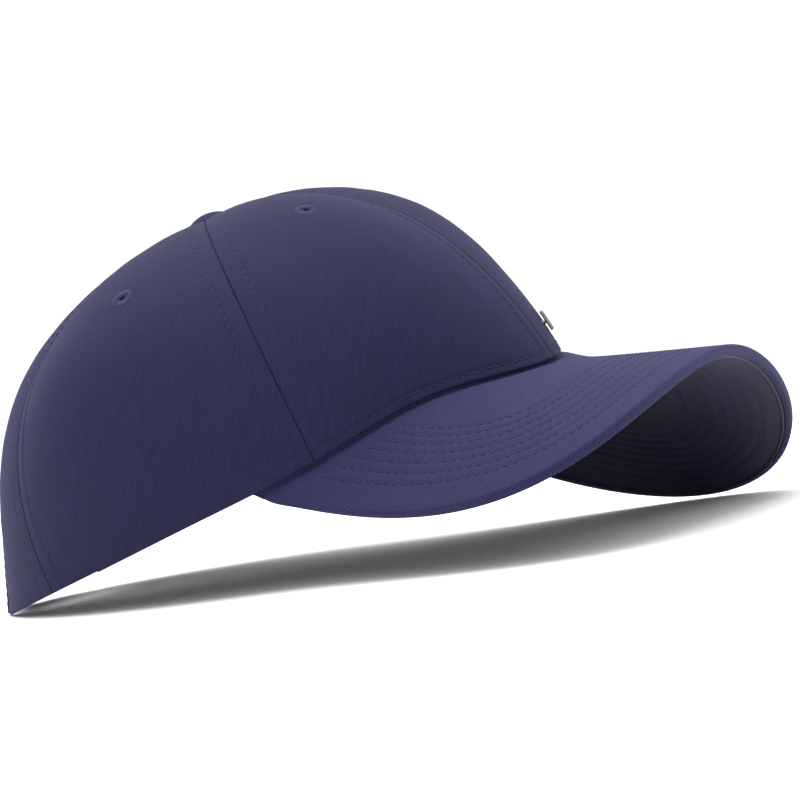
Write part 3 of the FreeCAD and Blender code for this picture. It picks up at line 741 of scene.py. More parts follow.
def metallic(name, colour, grain_mm, roughness):
    """Metal with fine scratches: noise stretched along one direction varies roughness and height."""
    material, tree, shader = start_material(name)
    if tree is None:
        return material
    place = node(tree, "TexCoord")
    drawn = node(tree, "Mapping", {"Vector": place.outputs["Object"], "Scale": (0.1, 1.0, 1.0)})
    grain = node(tree, "TexNoise", {"Vector": drawn.outputs[0], "Scale": 1 / (grain_mm * MM), "Detail": 3.0})
    low, high = shades(colour, 0.88, 1.06)
    tint = node(tree, "Mix", {0: grain.outputs["Fac"], 6: low, 7: high}, data_type="RGBA")
    rough = node(tree, "MapRange", {"Value": grain.outputs["Fac"], "To Min": roughness - 0.08,
                                    "To Max": roughness + 0.12})
    bump = node(tree, "Bump", {"Height": grain.outputs["Fac"], "Distance": 0.01 * MM, "Strength": 0.5})
    tree.links.new(tint.outputs[2], shader.inputs["Base Color"])
    tree.links.new(rough.outputs[0], shader.inputs["Roughness"])
    tree.links.new(bump.outputs[0], shader.inputs["Normal"])
    shader.inputs["Metallic"].default_value = 1.0
    return material


def crown_twill():
    """Fine polyester-cotton twill: ribs drawn coarse enough to show, leaning towards the visor."""
    return woven("Piece-dyed fine twill", bpy.context.scene.cap_colours.crown, 0.8, -30.0, 0.04,
                 contrast=0.08, streak=0.9,
                 streak_mm=0.5, roughness=0.8, sheen=0.06)


def visor_twill():
    """The same cloth on the bias over the visor, stretched tight so that its ribs stand out. Its colour is
    lighter than the crown's, as painted light on the visor's upper side.
    """
    return woven("Bias-cut ribbed twill", bpy.context.scene.cap_colours.visor, 0.72, -61.0, 0.18,
                 contrast=0.6, streak=0.12,
                 roughness=0.75, sheen=0.12)


def under_cloth():
    """Smooth tightly woven cloth under the visor, its colour darkened partly as painted shade of the visor's
    underside.
    """
    return woven("Calendered under-visor cloth", bpy.context.scene.cap_colours.under, 0.5, 0.0, 0.02,
                 contrast=0.06, streak=0.12,
                 roughness=0.6, sheen=0.1)


def sewing_thread():
    """Twisted polyester thread: the ply shows as fine slanting ridges. Its colour is a little lighter than
    the cloth's, as painted light against the shade of the grooves.
    """
    return woven("Twisted polyester thread", bpy.context.scene.cap_colours.thread, 0.25, 55.0, 0.03,
                 contrast=0.2, streak=0.1,
                 roughness=0.55, sheen=0.2)


def binding_tape():
    """Plain-woven cotton tape with a fine rib along its length."""
    return woven("Plain-woven cotton tape", bpy.context.scene.cap_colours.tape, 0.7, 90.0, 0.06,
                 contrast=0.2, streak=0.1, weft_mm=0.7)


# ---------------------------------------------------------------- operators

class CapOperator(bpy.types.Operator):
    """Shared settings of the cap's operators."""
    bl_options = {"REGISTER", "UNDO"}

    @property
    def colours(self):
        return bpy.context.scene.cap_colours

    def sizes(self, *names):
        """Settings from the sidebar, in millimetres."""
        return [getattr(bpy.context.scene.cap_sizes, name) / MM for name in names]

    def sew(self, name, paths, body="cap"):
        """A piece made of rows of stitches."""
        made = stitches(paths, *self.sizes("stitch_length", "stitch_pitch", "thread"))
        piece(name, made, sewing_thread(), body)


def panel_patches():
    """The six crown panels: name, side's sign and patch."""
    spans = {"front": (0.0, FRONT_SEAM), "side": (FRONT_SEAM, REAR_SEAM), "rear": (REAR_SEAM, 180.0)}
    for side, sign in SIDES:
        for panel, (first, last) in spans.items():
            yield panel, side, sign, CrownPatch(sign * first, sign * last, 0.0, TOP_RADIUS, True)


def row_distance(width, row):
    """How far from the seam a topstitched row runs: its set distance, or less where the panel narrows."""
    return np.minimum(row, 0.36 * width)


class CAP_OT_panels(CapOperator):
    """Six sewn panels of twill, turned in at their seams and filled out between them"""
    bl_idname = "cap.panels"
    bl_label = "Crown panels"

    def execute(self, context):
        row, hem, groove, pitch = self.sizes("seam_row", "hem_row", "groove", "stitch_pitch")
        for number, (panel, side, sign, patch) in enumerate(panel_patches()):
            def relief(u, v, width):
                seam = np.minimum(u, width - u)
                at = row_distance(width, row)
                pull = dent(seam - at, 0.75) * (0.75 + 0.25 * np.cos(2 * np.pi * v / pitch))
                hem_pull = dent(v - hem, 0.7) * (panel == "front")
                doubled = 0.22 / (1 + np.exp((seam - at - 0.3) / 0.35))
                crease = 0.45 * ripple(u, v, 46.0, 11 + number) + 0.12 * ripple(u, v, 15.0, 31 + number)
                calm = np.clip(seam / 14, 0, 1) * np.clip(v / 16, 0, 1)
                calm = calm * np.clip((patch.height - v) / 20, 0, 1)
                return doubled - groove * (pull + hem_pull) + crease * calm
            angle, run = EYELETS[panel]
            made = cloth_layer(patch, 0.0, CLOTH, 46, 150, SEAM_STEPS, HEM_STEPS, (0.55, 0.85), relief,
                               [(sign * angle, run, 2.3)], opening=panel == "rear")
            piece("%s_twill_panel_%s" % (panel, side), made, crown_twill(),
                  stands_for=["%s_panel_%s" % (panel, side)])
        return {"FINISHED"}


class CAP_OT_topstitching(CapOperator):
    """Rows of topstitching beside every crown seam and along the hem over the visor"""
    bl_idname = "cap.topstitching"
    bl_label = "Topstitching"

    def execute(self, context):
        row, hem, groove = self.sizes("seam_row", "hem_row", "groove")
        seams, hems = [], []
        for panel, side, sign, patch in panel_patches():
            v = np.arange(4.0, patch.height - 4.0, ROW_STEP)
            width = patch.width(v)
            at = row_distance(width, row)
            for u in (at, width - at):
                points, out = crown_path(patch, u, v, np.full(v.shape, 0.1 - groove * 0.55))
                if panel == "rear":
                    clear = arch_distance(points[:, 0], points[:, 2]) > 4.0
                    points, out = points[clear], out[clear]
                seams.append((points, out))
            if panel == "front":
                u = np.arange(1.0, patch.width(np.array(hem)) - 1.0, ROW_STEP)
                hems.append(crown_path(patch, u, np.full(u.shape, hem), np.full(u.shape, -groove * 0.55)))
            if panel == "side":
                u = np.arange(1.0, 20.0, ROW_STEP)
                hems.append(crown_path(patch, u, np.full(u.shape, hem), np.zeros(u.shape)))
        self.sew("crown_topstitching", seams)
        self.sew("hem_topstitching", hems)
        return {"FINISHED"}


class CAP_OT_visor(CapOperator):
    """Visor covers with their sewn rows, turned round the board's edge"""
    bl_idname = "cap.visor"
    bl_label = "Visor"

    def execute(self, context):
        gap, first, groove = self.sizes("visor_row", "visor_first", "groove")
        rows = first + gap * np.arange(context.scene.cap_sizes.visor_rows)
        places = visor_places(360)
        visor = Visor(places)
        small = np.minimum(1.0, visor.depth / 7.0)
        taper = np.clip((1 - np.abs(places)) / 0.06, 0, 1)[:, None]
        gape = np.clip((0.95 - np.abs(places)) / 0.3, 0, 1)

        def quilted(d, face):
            """The cover's height: pulled in at each sewn row that the visor is deep enough for."""
            deep = visor.depth[:, None]
            pull = sum(dent(d - r, 0.8) * np.clip((deep - r - 1) / 3, 0, 1) for r in rows)
            return face - groove * pull

        nets = []
        turn = np.linspace(0, np.pi, 17)
        square_h = np.sign(np.cos(turn)) * np.abs(np.cos(turn)) ** 0.6
        square_d = np.abs(np.sin(turn)) ** 0.6
        wrap_d = VISOR_FACE * (1 - square_d) * small[:, None]
        d = visor_depths(visor.depth, VISOR_FACE * small, 108)[:, ::-1]
        tuck = small[:, None] * np.array([2.0, 2.25])
        face_d = np.concatenate([d[:, :-1], wrap_d, tuck], 1)
        face_h = np.concatenate([quilted(d, VISOR_FACE)[:, :-1],
                                 np.broadcast_to(VISOR_FACE * square_h, wrap_d.shape),
                                 np.broadcast_to([-VISOR_FACE, -VISOR_FACE + 0.5], tuck.shape)], 1) * taper
        thin = VISOR_BOARD + VISOR_GAP
        core_d = np.concatenate([d[:, :-1], (VISOR_FACE - thin * square_d) * small[:, None], tuck], 1)
        core_h = np.concatenate([np.full(d[:, :-1].shape, thin),
                                 np.broadcast_to(thin * square_h, wrap_d.shape),
                                 np.full(tuck.shape, -thin)], 1) * taper
        beyond = small[:, None] * np.concatenate([VISOR_FACE * (1 - turn),
                                                  VISOR_FACE * (1 - np.pi) - np.array([0.25, 0.75])])
        flat_uv = visor.cloth(np.concatenate([d[:, :-1], beyond], 1))
        face, core = visor.point(face_d, face_h), visor.point(core_d, core_h)
        for net, hem_edge, inside in ((face, (1.35, -0.4 - 0.6 * gape),
                                       [(1.45, 1.3), (1.45, 0.5), (1.4, -0.2)]),
                                      (core, (1.6, -1.0 - 0.6 * gape),
                                       [(2.0, 1.3), (2.0, 0.3), (1.9, -0.8)])):
            near = np.maximum(np.clip(1 - (visor.depth[:, None] - face_d) / 3.2, 0, 1), 1 - taper)
            near = near * near * (3 - 2 * near)
            net += near[..., None] * (self.seam(places, *hem_edge) - net[:, 0])[:, None]
            inside_net = np.stack([self.seam(places, *spot) for spot in inside], 1)
            nets.append(np.concatenate([inside_net, net], 1))
        flat_uv = np.concatenate([np.repeat(flat_uv[:, :1], 3, 1), flat_uv], 1)
        piece("visor_top_twill", shell(nets[0], nets[1], flat_uv), visor_twill(),
              stands_for=["visor_top_cover"])

        border = np.array([0.0, 0.08, 0.25, 0.5, 0.9, 1.5])
        start = small * 2.3
        d = np.concatenate([start[:, None] + small[:, None] * border[:-1],
                            visor_depths(visor.depth, start + small * border[-1], 100)], 1)
        ridge = 0.5 * dent(d - 2.8, 0.3)
        face = -VISOR_FACE + roll(d - start[:, None], 0.45, 0.7)
        face_h = -quilted(d, -(face - ridge)) * taper
        core_h = np.full(d.shape, -thin) * taper
        flat_uv = visor.cloth(d)
        flat_uv = np.concatenate([flat_uv, np.repeat(flat_uv[:, -1:], 3, 1)], 1)
        nets = []
        for height, inside in ((face_h, [(2.9, -1.8), (3.0, -0.4), (3.0, 1.2)]),
                               (core_h, [(2.4, -1.3), (2.5, -0.3), (2.5, 1.2)])):
            net = visor.point(d, height)
            net += ((1 - taper) * (self.seam(places, 1.6, 0.0) - net[:, -1]))[:, None]
            nets.append(np.concatenate([net, np.stack([self.seam(places, *spot) for spot in inside], 1)], 1))
        piece("visor_under_cloth", shell(nets[0], nets[1], flat_uv), under_cloth(),
              stands_for=["visor_under_cover"])

        tops, unders = [], []
        for r in rows:
            deep = visor.depth > r + 2.0
            for paths, side in ((tops, 1.0), (unders, -1.0)):
                height = side * (VISOR_FACE - groove * 0.8)
                points = visor.point(np.full((len(places), 1), r), height)[:, 0]
                paths.append((points[deep], visor.up[deep] * side))
        self.sew("visor_top_stitching", tops)
        self.sew("visor_under_stitching", unders)
        return {"FINISHED"}

    @staticmethod
    def seam(places, depth, above):
        """Points of the seam allowance inside the hem, at a depth and a height above the hem, both less
        towards the visor's ends."""
        phi, taper = places * VISOR_END, np.clip((1 - np.abs(places)) / 0.05, 0, 1)
        above = above * taper + 0.6 * (1 - taper)
        return crown(phi, solve(phi, hem_height(phi) + above, depth), depth)


class CAP_OT_button(CapOperator):
    """The cloth-covered button at the crown's top"""
    bl_idname = "cap.button"
    bl_label = "Button"

    def execute(self, context):
        radius, tall, cloth = 7.0, 2.4, 0.6
        ball = (radius ** 2 + tall ** 2) / (2 * tall)
        theta = np.linspace(0, 2 * np.pi, 121)[:-1, None]
        share = np.linspace(0, 1, 30)
        r = radius * np.sin(share * np.pi / 2)
        z = np.sqrt(ball ** 2 - r ** 2) - ball + tall
        z = z - roll(radius - r, 0.5, 0.3)
        pleat = 0.14 * np.cos(16 * theta) * share ** 6
        lathe_r = np.concatenate([np.broadcast_to(r, (120, 30)) + pleat,
                                  np.broadcast_to(r[::-1] * (radius - cloth) / radius, (120, 30))], 1)
        lathe_z = np.concatenate([np.broadcast_to(z, (120, 30)),
                                  np.broadcast_to((z * (tall - cloth) / tall)[::-1], (120, 30))], 1)
        points = np.stack([lathe_r * np.cos(theta), APEX_Y + lathe_r * np.sin(theta),
                           HEIGHT + 0.3 + lathe_z], -1)
        faces = quads_of(120, 60, round_rows=True)
        made = (points.reshape(-1, 3), faces, points[..., :2].reshape(-1, 2))
        piece("covered_button", made, crown_twill(), stands_for=["button_cover"])
        return {"FINISHED"}


class CAP_OT_eyelets(CapOperator):
    """Six ventilation holes bound with close buttonhole stitching"""
    bl_idname = "cap.eyelets"
    bl_label = "Eyelets"

    def execute(self, context):
        threads, around_count = 36, 288
        theta = np.linspace(0, 2 * np.pi, around_count + 1)[:-1, None]
        psi = np.linspace(0, 2 * np.pi, 19)[None, :-1]
        for side, sign in SIDES:
            for panel, (angle, run) in EYELETS.items():
                here, along, up, out = crown_frame(np.array(sign * angle), np.array(run), CLOTH / 2)
                twist = theta + 0.09 * np.sin(psi)
                thread = EYELET_THREAD * (0.86 + 0.14 * np.abs(np.cos(twist * threads / 2)))
                far = EYELET_RING - 0.55 + thread * np.cos(psi) * 1.6
                tall = thread * np.sin(psi) * 0.85
                points = (here + (far * np.cos(theta))[..., None] * along
                          + (far * np.sin(theta))[..., None] * up + tall[..., None] * out)
                faces = quads_of(around_count, 18, round_rows=True, round_columns=True)
                uv = np.stack(np.broadcast_arrays(theta * EYELET_RING, psi * EYELET_THREAD), -1)
                piece("%s_sewn_eyelet_%s" % (panel, side), (points.reshape(-1, 3), faces, uv.reshape(-1, 2)),
                      sewing_thread(),
                      stands_for=["%s_eyelet_%s" % (panel, side)])
        return {"FINISHED"}


class CAP_OT_linings(CapOperator):
    """Buckram, seam tapes, forehead lining and sweatband inside the crown"""
    bl_idname = "cap.linings"
    bl_label = "Linings"

    def execute(self, context):
        c = self.colours
        buckram = woven("Starched open buckram", c.buckram, 1.3, 0.0, 0.12, contrast=0.3, weft_mm=1.3,
                        roughness=0.85, sheen=0.0)
        for side, sign in SIDES:
            patch = CrownPatch(sign * 7.0, sign * (FRONT_SEAM - 8.0), 1.5, 30.0, True, BUCKRAM_DEPTH)
            angle, run = EYELETS["front"]
            made = cloth_layer(patch, BUCKRAM_DEPTH, BUCKRAM_CLOTH, 40, 60, holes=[(sign * angle, run, 3.9)])
            piece("open_weave_buckram_%s" % side, made, buckram, stands_for=["buckram_%s" % side])
        tapes = {"front_seam_tape": (0.0, 2.0)}
        for side, sign in SIDES:
            tapes["front_side_tape_" + side] = (sign * FRONT_SEAM, 3.0)
            tapes["rear_side_tape_" + side] = (sign * REAR_SEAM, 3.0)
        tapes["rear_seam_tape"] = (180.0, ARCH_HEIGHT + 10.0)
        rows = []
        for name, (phi, low) in tapes.items():
            made, edges = seam_tape(phi, low)
            piece(name.replace("tape", "twill_tape"), made, binding_tape(), stands_for=[name])
            rows += edges
        self.sew("tape_stitching", rows)

        lining = fibrous("Bonded non-woven lining", c.lining, 0.5, 0.05)
        patch = CrownPatch(-62.0, 62.0, 3.0, BAND_HEIGHT - 3.0, depth=LINING_DEPTH + LINING_CLOTH / 2)
        made = cloth_layer(patch, LINING_DEPTH, LINING_CLOTH, 120, 26,
                           relief=lambda u, v, w: 0.1 * ripple(u, v, 18.0, 71))
        piece("forehead_lining_cloth", made, lining, stands_for=["forehead_lining"])

        band = woven("Brushed cotton sweatband", c.sweatband, 0.9, 35.0, 0.08, contrast=0.16, streak=0.2,
                     roughness=0.9, sheen=0.5)
        patch = CrownPatch(-148.0, 148.0, 1.0, BAND_HEIGHT, depth=BAND_DEPTH + BAND_CLOTH / 2)

        def relief(u, v, width):
            fold = 0.3 * dent(v - patch.height + 1.2, 1.4)
            crease = 0.25 * ripple(u, v, 26.0, 81) * np.clip(v / 8, 0, 1)
            return -fold + crease * np.clip((patch.height - v) / 8, 0, 1)
        made = cloth_layer(patch, BAND_DEPTH, BAND_CLOTH, 260, 30, relief=relief)
        piece("cotton_sweatband", made, band, stands_for=["sweatband"])
        u = np.arange(4.0, patch.width(np.array(15.0)) - 4.0, 0.9)
        inside = []
        for v in (2.4, patch.height - 3.4):
            phi, run = patch.turn(u, np.full(u.shape, v))
            points, _, _, out = crown_frame(phi, run, BAND_DEPTH + BAND_CLOTH + 0.02)
            inside.append((points, -out))
        self.sew("sweatband_stitching", inside)
        return {"FINISHED"}


def seam_tape(phi, low, high=15.0, depth=TAPE_DEPTH, cloth=TAPE_CLOTH, half=TAPE_HALF):
    """A woven tape along the inside of a seam: for each point of the seam, places to both sides along the
    hem's direction; and its two sewn rows."""
    line = np.linspace(0, 1, 121)[:, None]
    first = solve(np.array(phi), low, depth)
    last = solve(np.array(phi), high, depth, False)
    here, along, _, out = crown_frame(phi, first + (last - first) * line[:, 0], depth)
    x = np.concatenate([-half + EDGE_STEPS[:5] * 0.5, np.linspace(-half, half, 15)[1:-1],
                        half - EDGE_STEPS[4::-1] * 0.5])
    far = lengths(here)
    edge = np.minimum(half - np.abs(x)[None], np.minimum(far, far[-1] - far)[:, None])
    ease = 0.12 * dent(np.abs(x) - 4.6, 0.5)
    base = here[:, None] + along[:, None] * x[:, None]
    outer = base - out[:, None] * (roll(edge, cloth / 2, cloth * 0.49))[..., None]
    inner = base - out[:, None] * (cloth - ease - roll(edge, cloth / 2, cloth * 0.49))[..., None]
    uv = np.stack(np.broadcast_arrays(x, far[:, None]), -1)
    rows = [(here + along * side * 4.6 - out * (cloth - 0.05), -out) for side in (-1, 1)]
    return shell(outer, inner, uv), rows


class CAP_OT_labels(CapOperator):
    """Two blank satin labels sewn to the sweatband"""
    bl_idname = "cap.labels"
    bl_label = "Labels"

    def execute(self, context):
        satin = woven("Woven satin label", self.colours.label, 0.5, 90.0, 0.03, contrast=0.05, streak=0.06,
                      roughness=0.42, sheen=0.1)
        for name, first, last, low, high in (("size_label", -96.0, -110.0, 8.0, 24.0),
                                             ("care_label", 92.0, 112.0, 6.0, 28.0)):
            patch = CrownPatch(first, last, low, high, depth=LABEL_DEPTH + LABEL_CLOTH / 2)
            made = cloth_layer(patch, LABEL_DEPTH, LABEL_CLOTH, 30, 24,
                               relief=lambda u, v, w: -0.12 * ripple(u, v, 12.0, 91))
            piece(name.replace("label", "satin_label"), made, satin, stands_for=[name])
        return {"FINISHED"}


def eased(phi, first, last, start, stop):
    """A value that turns smoothly from start to stop between two angles: the cubic smooth step."""
    share = np.clip((phi - first) / (last - first), 0, 1)
    return start + (stop - start) * share * share * (3 - 2 * share)


class CAP_OT_back_strap(CapOperator):
    """The bound back opening and its hook-and-loop strap"""
    bl_idname = "cap.back_strap"
    bl_label = "Back strap"

    def execute(self, context):
        c = self.colours
        strap = woven("Doubled strap twill", c.crown, 0.8, 30.0, 0.06, contrast=0.12, streak=0.2,
                      roughness=0.75, sheen=0.25)
        hooks = fibrous("Moulded nylon hooks", c.fastener, 0.7, 0.25, roughness=0.5, sheen=0.0)
        loops = fibrous("Brushed nylon loops", c.fastener, 0.45, 0.3, roughness=0.95, sheen=0.25)

        def edge_rows(u, v, width):
            inset = np.minimum(np.minimum(u, width - u), np.minimum(v, patch.height - v))
            return -0.18 * dent(inset - 2.2, 0.6) + 0.1 * ripple(u, v, 16.0, 101)

        def loop_depth(phi):
            return eased(phi, 156.0, 165.0, STRAP_ROOT, LOOP_STRAP)
        patch = CrownPatch(149.0, 192.0, STRAP_LOW, STRAP_HIGH, depth=loop_depth)
        made = cloth_layer(patch, loop_depth, STRAP_CLOTH, 90, 24, border=HEM_STEPS, border_up=HEM_STEPS,
                           relief=edge_rows)
        piece("loop_side_strap", made, strap, stands_for=["loop_strap"])
        rows = strap_rows(patch, loop_depth, STRAP_CLOTH)
        self.sew("loop_strap_stitching", rows)

        low, high = STRAP_LOW + 1, STRAP_HIGH - 1
        patch = CrownPatch(167.0, 191.0, low, high)
        made = cloth_layer(patch, LOOP_STRAP - PATCH_CLOTH - PATCH_GAP, PATCH_CLOTH, 90, 50,
                           relief=lambda u, v, w: 0.1 * ripple(u, v, 1.6, 111))
        piece("loop_fastener_patch", made, loops, stands_for=["loop_patch"])

        def hook_depth(phi):
            over = eased(phi, 194.0, FLAP_END, HOOK_STRAP, STRAP_ROOT - 0.8)
            return over + eased(phi, FLAP_END - 1.5, HINGE + 1.0, 0.0, 0.8)
        patch = CrownPatch(168.0, 211.0, STRAP_LOW, STRAP_HIGH, depth=hook_depth)
        made = cloth_layer(patch, hook_depth, STRAP_CLOTH, 90, 24, border=HEM_STEPS, border_up=HEM_STEPS,
                           relief=edge_rows,
                           round_end=7.0)
        start, end = (Vector(to_row(crown(np.array(phi), np.array(0.12),
                                          STRAP_ROOT))) for phi in (HINGE + 2.4, HINGE - 4.0))
        bend = ("cap", "strap_flap", start, end)
        piece("hook_side_strap", made, strap, bend, ["hook_strap", "hook_strap_root"])
        rows = strap_rows(patch, hook_depth, STRAP_CLOTH, 7.0)
        self.sew("hook_strap_stitching", rows, bend)
        patch = CrownPatch(169.0, 189.0, low, high)
        made = cloth_layer(patch, HOOK_STRAP + STRAP_CLOTH + PATCH_GAP, PATCH_CLOTH, 80, 44, round_end=6.0)
        piece("hook_fastener_patch", made, hooks, "strap_flap", ["hook_patch"])

        share = np.linspace(0.0, 1.0, 240)[:, None]
        self.binding(0.02 + 0.96 * share, binding_tape())
        self.inner_tape(share, binding_tape())
        phi, run = arch_line(2.3, np.linspace(0.03, 0.97, 240))
        points, _, _, out = crown_frame(phi, run, -0.42)
        self.sew("binding_stitching", [(points, out)])
        return {"FINISHED"}

    def binding(self, share, material):
        """Tape folded over the opening's raw edge: a C profile from 3.2 mm outside round the edge to 1 mm
        inside."""
        offset = np.array([3.2, 3.2, 3.05, 2.7, 2.0, 1.2, 0.4, -0.1, -0.45, -0.6, -0.6, -0.45, -0.1, 0.5,
                           1.0, 1.0])
        depth = np.array([-0.1, -0.3, -0.42, -0.5, -0.45, -0.5, -0.52, -0.5, -0.3, 0.1, 0.6, 1.0, 1.2, 1.3,
                          1.3, 1.1])
        core_offset = np.array([3.15, 3.1, 3.0, 2.6, 2.0, 1.2, 0.4, 0.0, -0.1, -0.15, -0.15, -0.1, 0.0, 0.5,
                                0.9, 0.95])
        core_depth = np.array([-0.05, -0.05, -0.05, -0.05, -0.05, -0.05, -0.05, -0.05, 0.0, 0.2, 0.6, 0.9,
                               1.03, 1.05, 1.05, 1.06])
        outer = crown(*arch_line(offset, share, depth=depth), depth)
        inner = crown(*arch_line(core_offset, share, depth=core_depth), core_depth)
        uv = np.stack(np.broadcast_arrays(share * ARCH_TAPE, np.cumsum(np.abs(np.diff(offset,
                                                                                      prepend=3.2)))), -1)
        piece("arch_edge_binding", shell(outer, inner, uv), material,
              stands_for=["arch_binding"])

    def inner_tape(self, share, material):
        """A flat tape round the inside of the opening, above the strap's ends."""
        share = 0.21 + 0.58 * share
        offset = np.concatenate([1.3 + EDGE_STEPS[:5] * 0.5, np.linspace(2.3, 7.0, 9),
                                 8.0 - EDGE_STEPS[4::-1] * 0.5])
        edge = np.minimum(offset - 1.3, 8.0 - offset)[None] + 0 * share
        edge = np.minimum(edge, np.minimum(share - 0.21, 0.79 - share) * ARCH_TAPE)
        outer_depth, inner_depth = 1.35 + roll(edge, 0.3, 0.29), 1.95 - roll(edge, 0.3, 0.29)
        outer = crown(*arch_line(offset, share, depth=outer_depth), outer_depth)
        inner = crown(*arch_line(offset, share, depth=inner_depth), inner_depth)
        uv = np.stack(np.broadcast_arrays(share * ARCH_TAPE, offset), -1)
        piece("arch_inner_tape", shell(outer, inner, uv), material)


def strap_rows(patch, depth, cloth, round_end=0.0):
    """Two sewn rows along a strap, on its outer face."""
    mean = patch.width(np.array(patch.height / 2))
    paths = []
    for v in (2.2, patch.height - 2.2):
        u = np.arange(3.0 + round_end * 0.6, mean - 2.0, ROW_STEP)
        phi, run = patch.turn(u, np.full(u.shape, v))
        points, _, _, out = crown_frame(phi, run, depth(phi) + 0.1)
        paths.append((points, out))
    return paths


class CAP_OT_hardware(CapOperator):
    """Badge with softened edges, and finishes for the hard parts"""
    bl_idname = "cap.hardware"
    bl_label = "Hardware"

    def execute(self, context):
        c = self.colours
        alloy = metallic("Pressed satin aluminium", c.metal, 0.3, 0.38)
        nickel = metallic("Nickel-plated brass", c.badge, 0.25, 0.26)
        board = fibrous("Moulded polyethylene board", c.board, 0.6, 0.03, roughness=0.5, sheen=0.0)
        finishes = {"badge_backing": alloy, "badge_prongs": nickel, "button_dome": alloy,
                    "button_rivet": alloy,
                    "button_washer": alloy, "visor_board": board}
        for name, material in finishes.items():
            cad = frame["nodes"][name]
            cad.data.materials.clear()
            cad.data.materials.append(material)
        mesh = frame["nodes"]["badge"].data.copy()
        mesh.name = "nickel_badge"
        work = bmesh.new()
        work.from_mesh(mesh)
        bmesh.ops.remove_doubles(work, verts=work.verts, dist=1e-5)
        bmesh.ops.dissolve_limit(work, angle_limit=math.radians(1.0), verts=work.verts, edges=work.edges)
        work.to_mesh(mesh)
        work.free()
        badge = bpy.data.objects.new("nickel_badge", mesh)
        context.scene.collection.objects.link(badge)
        mesh.materials.clear()
        mesh.materials.append(nickel)
        bevel = badge.modifiers.new("Softened edges", "BEVEL")
        bevel.width, bevel.segments, bevel.limit_method = 0.35 * MM, 3, "ANGLE"
        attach(badge, "cap")
        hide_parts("badge")
        return {"FINISHED"}


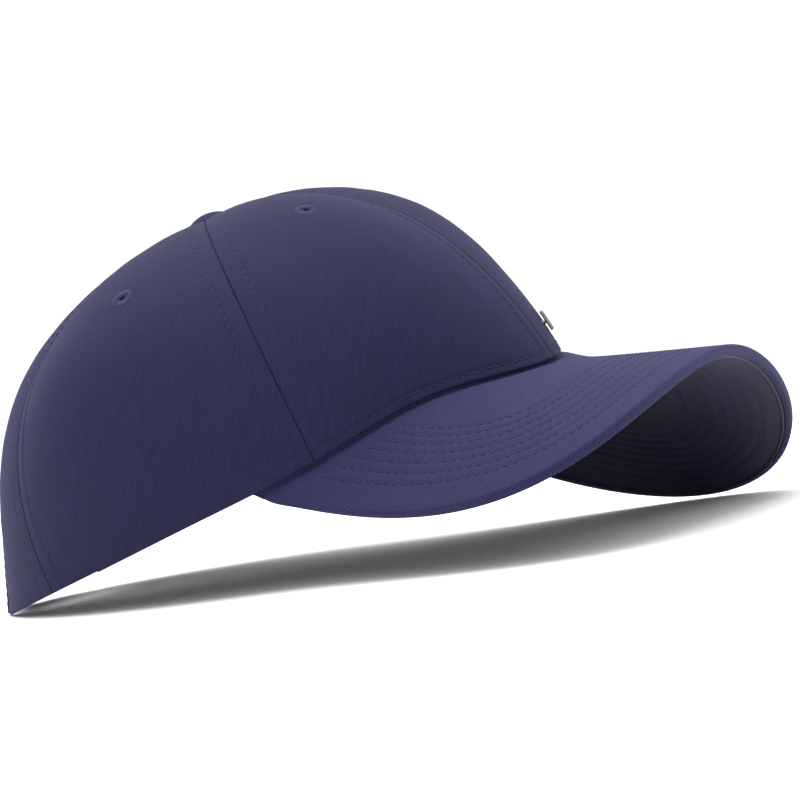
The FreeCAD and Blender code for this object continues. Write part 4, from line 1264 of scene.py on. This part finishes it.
class CAP_OT_stage(CapOperator):
    """Pale floor, soft studio lights and the camera"""
    bl_idname = "cap.stage"
    bl_label = "Stage"

    def execute(self, context):
        scene = context.scene
        material, tree, shader = start_material("Matt painted floor")
        if tree:
            place = node(tree, "TexCoord")
            noise = node(tree, "TexNoise", {"Vector": place.outputs["Object"], "Scale": 3.0})
            low, high = shades(self.colours.floor, 0.98, 1.0)
            tint = node(tree, "Mix", {0: noise.outputs["Fac"], 6: low, 7: high}, data_type="RGBA")
            tree.links.new(tint.outputs[2], shader.inputs["Base Color"])
            shader.inputs["Roughness"].default_value = 0.9
        wide = 12.0
        mesh = bpy.data.meshes.new("studio_floor")
        mesh.from_pydata([(-wide, -wide, 0), (wide, -wide, 0), (wide, wide, 0), (-wide, wide, 0)], [],
                         [(0, 1, 2, 3)])
        mesh.materials.append(material)
        floor = bpy.data.objects.new("studio_floor", mesh)
        scene.collection.objects.link(floor)

        world = bpy.data.worlds.new("Soft studio")
        world.use_nodes = True
        tree = world.node_tree
        sky = tree.nodes["Background"]
        sky.inputs["Color"].default_value = (1.0, 1.0, 1.0, 1.0)
        way = node(tree, "SeparateXYZ", {0: node(tree, "TexCoord").outputs["Generated"]})
        overhead = node(tree, "MapRange", {"Value": way.outputs["Z"], "From Max": 0.7, "To Min": 0.45,
                                           "To Max": 1.3},
                        interpolation_type="SMOOTHSTEP")
        backdrop = node(tree, "MapRange", {"Value": way.outputs["X"], "From Min": 0.66, "From Max": 0.84,
                                           "To Max": 1.06},
                        interpolation_type="SMOOTHSTEP")
        horizon = node(tree, "MapRange", {"Value": way.outputs["Z"], "From Min": 0.12, "From Max": 0.2,
                                          "To Min": 1.06, "To Max": 0.0})
        walls = node(tree, "Math", {0: horizon.outputs[0], 1: backdrop.outputs[0]}, operation="MAXIMUM")
        brighter = node(tree, "Math", {0: overhead.outputs[0], 1: walls.outputs[0]}, operation="MAXIMUM")
        tree.links.new(brighter.outputs[0], sky.inputs["Strength"])
        scene.world = world
        scene.view_settings.view_transform = "Standard"

        beta, dip = math.radians(21.5), math.radians(-1.14)
        back = np.array([-math.cos(beta) * math.cos(dip), -math.sin(beta) * math.cos(dip), math.sin(dip)])
        right = np.array([math.sin(beta), -math.cos(beta), 0.0])
        eye = np.array([0.0, -30.0, 20.0]) + 945.0 * back
        aim = np.array([6.3, -45.9, 6.7])
        up = 0.44 * right + 0.898 * np.array([0.0, 0.0, 1.0])
        eye_row, aim_row = to_row(eye), to_row(aim)
        forward = unit(aim_row - eye_row)
        across = unit(np.cross(forward, TURN @ up))
        matrix = np.eye(4)
        matrix[:3] = np.stack([across, np.cross(across, forward), -forward, eye_row], 1)
        camera = bpy.data.objects.new("Camera", bpy.data.cameras.new("Camera"))
        scene.collection.objects.link(camera)
        camera.matrix_world = Matrix(matrix)
        camera.data.lens, camera.data.sensor_width = 134.2, 36.0
        camera.data.clip_start, camera.data.clip_end = 0.05, 60.0
        scene.camera = camera

        lamps = {"Overhead softbox": ((-0.15, 0.0, 1.5), 30.0, 1.5),
                 "Rear strip": ((-0.35, 1.2, 0.9), 3.0, 0.8),
                 "Camera-side fill": ((-1.5, -0.6, 0.7), 3.0, 1.2)}
        middle = Vector((0.0, 0.0, 0.05))
        for name, (spot, power, size) in lamps.items():
            data = bpy.data.lights.new(name, "AREA")
            data.energy, data.size = power, size
            lamp = bpy.data.objects.new(name, data)
            scene.collection.objects.link(lamp)
            lamp.location = spot
            lamp.rotation_euler = (middle - Vector(spot)).to_track_quat("-Z", "Y").to_euler()
        return {"FINISHED"}


OPERATORS = (CAP_OT_stage, CAP_OT_panels, CAP_OT_topstitching, CAP_OT_visor, CAP_OT_button, CAP_OT_eyelets,
             CAP_OT_linings,
             CAP_OT_labels, CAP_OT_back_strap, CAP_OT_hardware)


class CAP_PT_sidebar(bpy.types.Panel):
    """The cap's pieces and settings in the 3D view's sidebar"""
    bl_idname = "CAP_PT_sidebar"
    bl_label = "Baseball cap"
    bl_space_type = "VIEW_3D"
    bl_region_type = "UI"
    bl_category = "Cap"

    def draw(self, context):
        for operator in OPERATORS:
            self.layout.operator(operator.bl_idname)
        for group in (context.scene.cap_sizes, context.scene.cap_colours):
            for name in group.__annotations__:
                self.layout.prop(group, name)


CLASSES = (CapSizes, CapColours, *OPERATORS, CAP_PT_sidebar)


def register():
    for item in CLASSES:
        bpy.utils.register_class(item)
    bpy.types.Scene.cap_sizes = bpy.props.PointerProperty(type=CapSizes)
    bpy.types.Scene.cap_colours = bpy.props.PointerProperty(type=CapColours)


def unregister():
    del bpy.types.Scene.cap_colours
    del bpy.types.Scene.cap_sizes
    for item in reversed(CLASSES):
        bpy.utils.unregister_class(item)


def main():
    register()
    for operator in OPERATORS:
        kind, name = operator.bl_idname.split(".")
        getattr(getattr(bpy.ops, kind), name)()


if __name__ == "__main__":
    main()
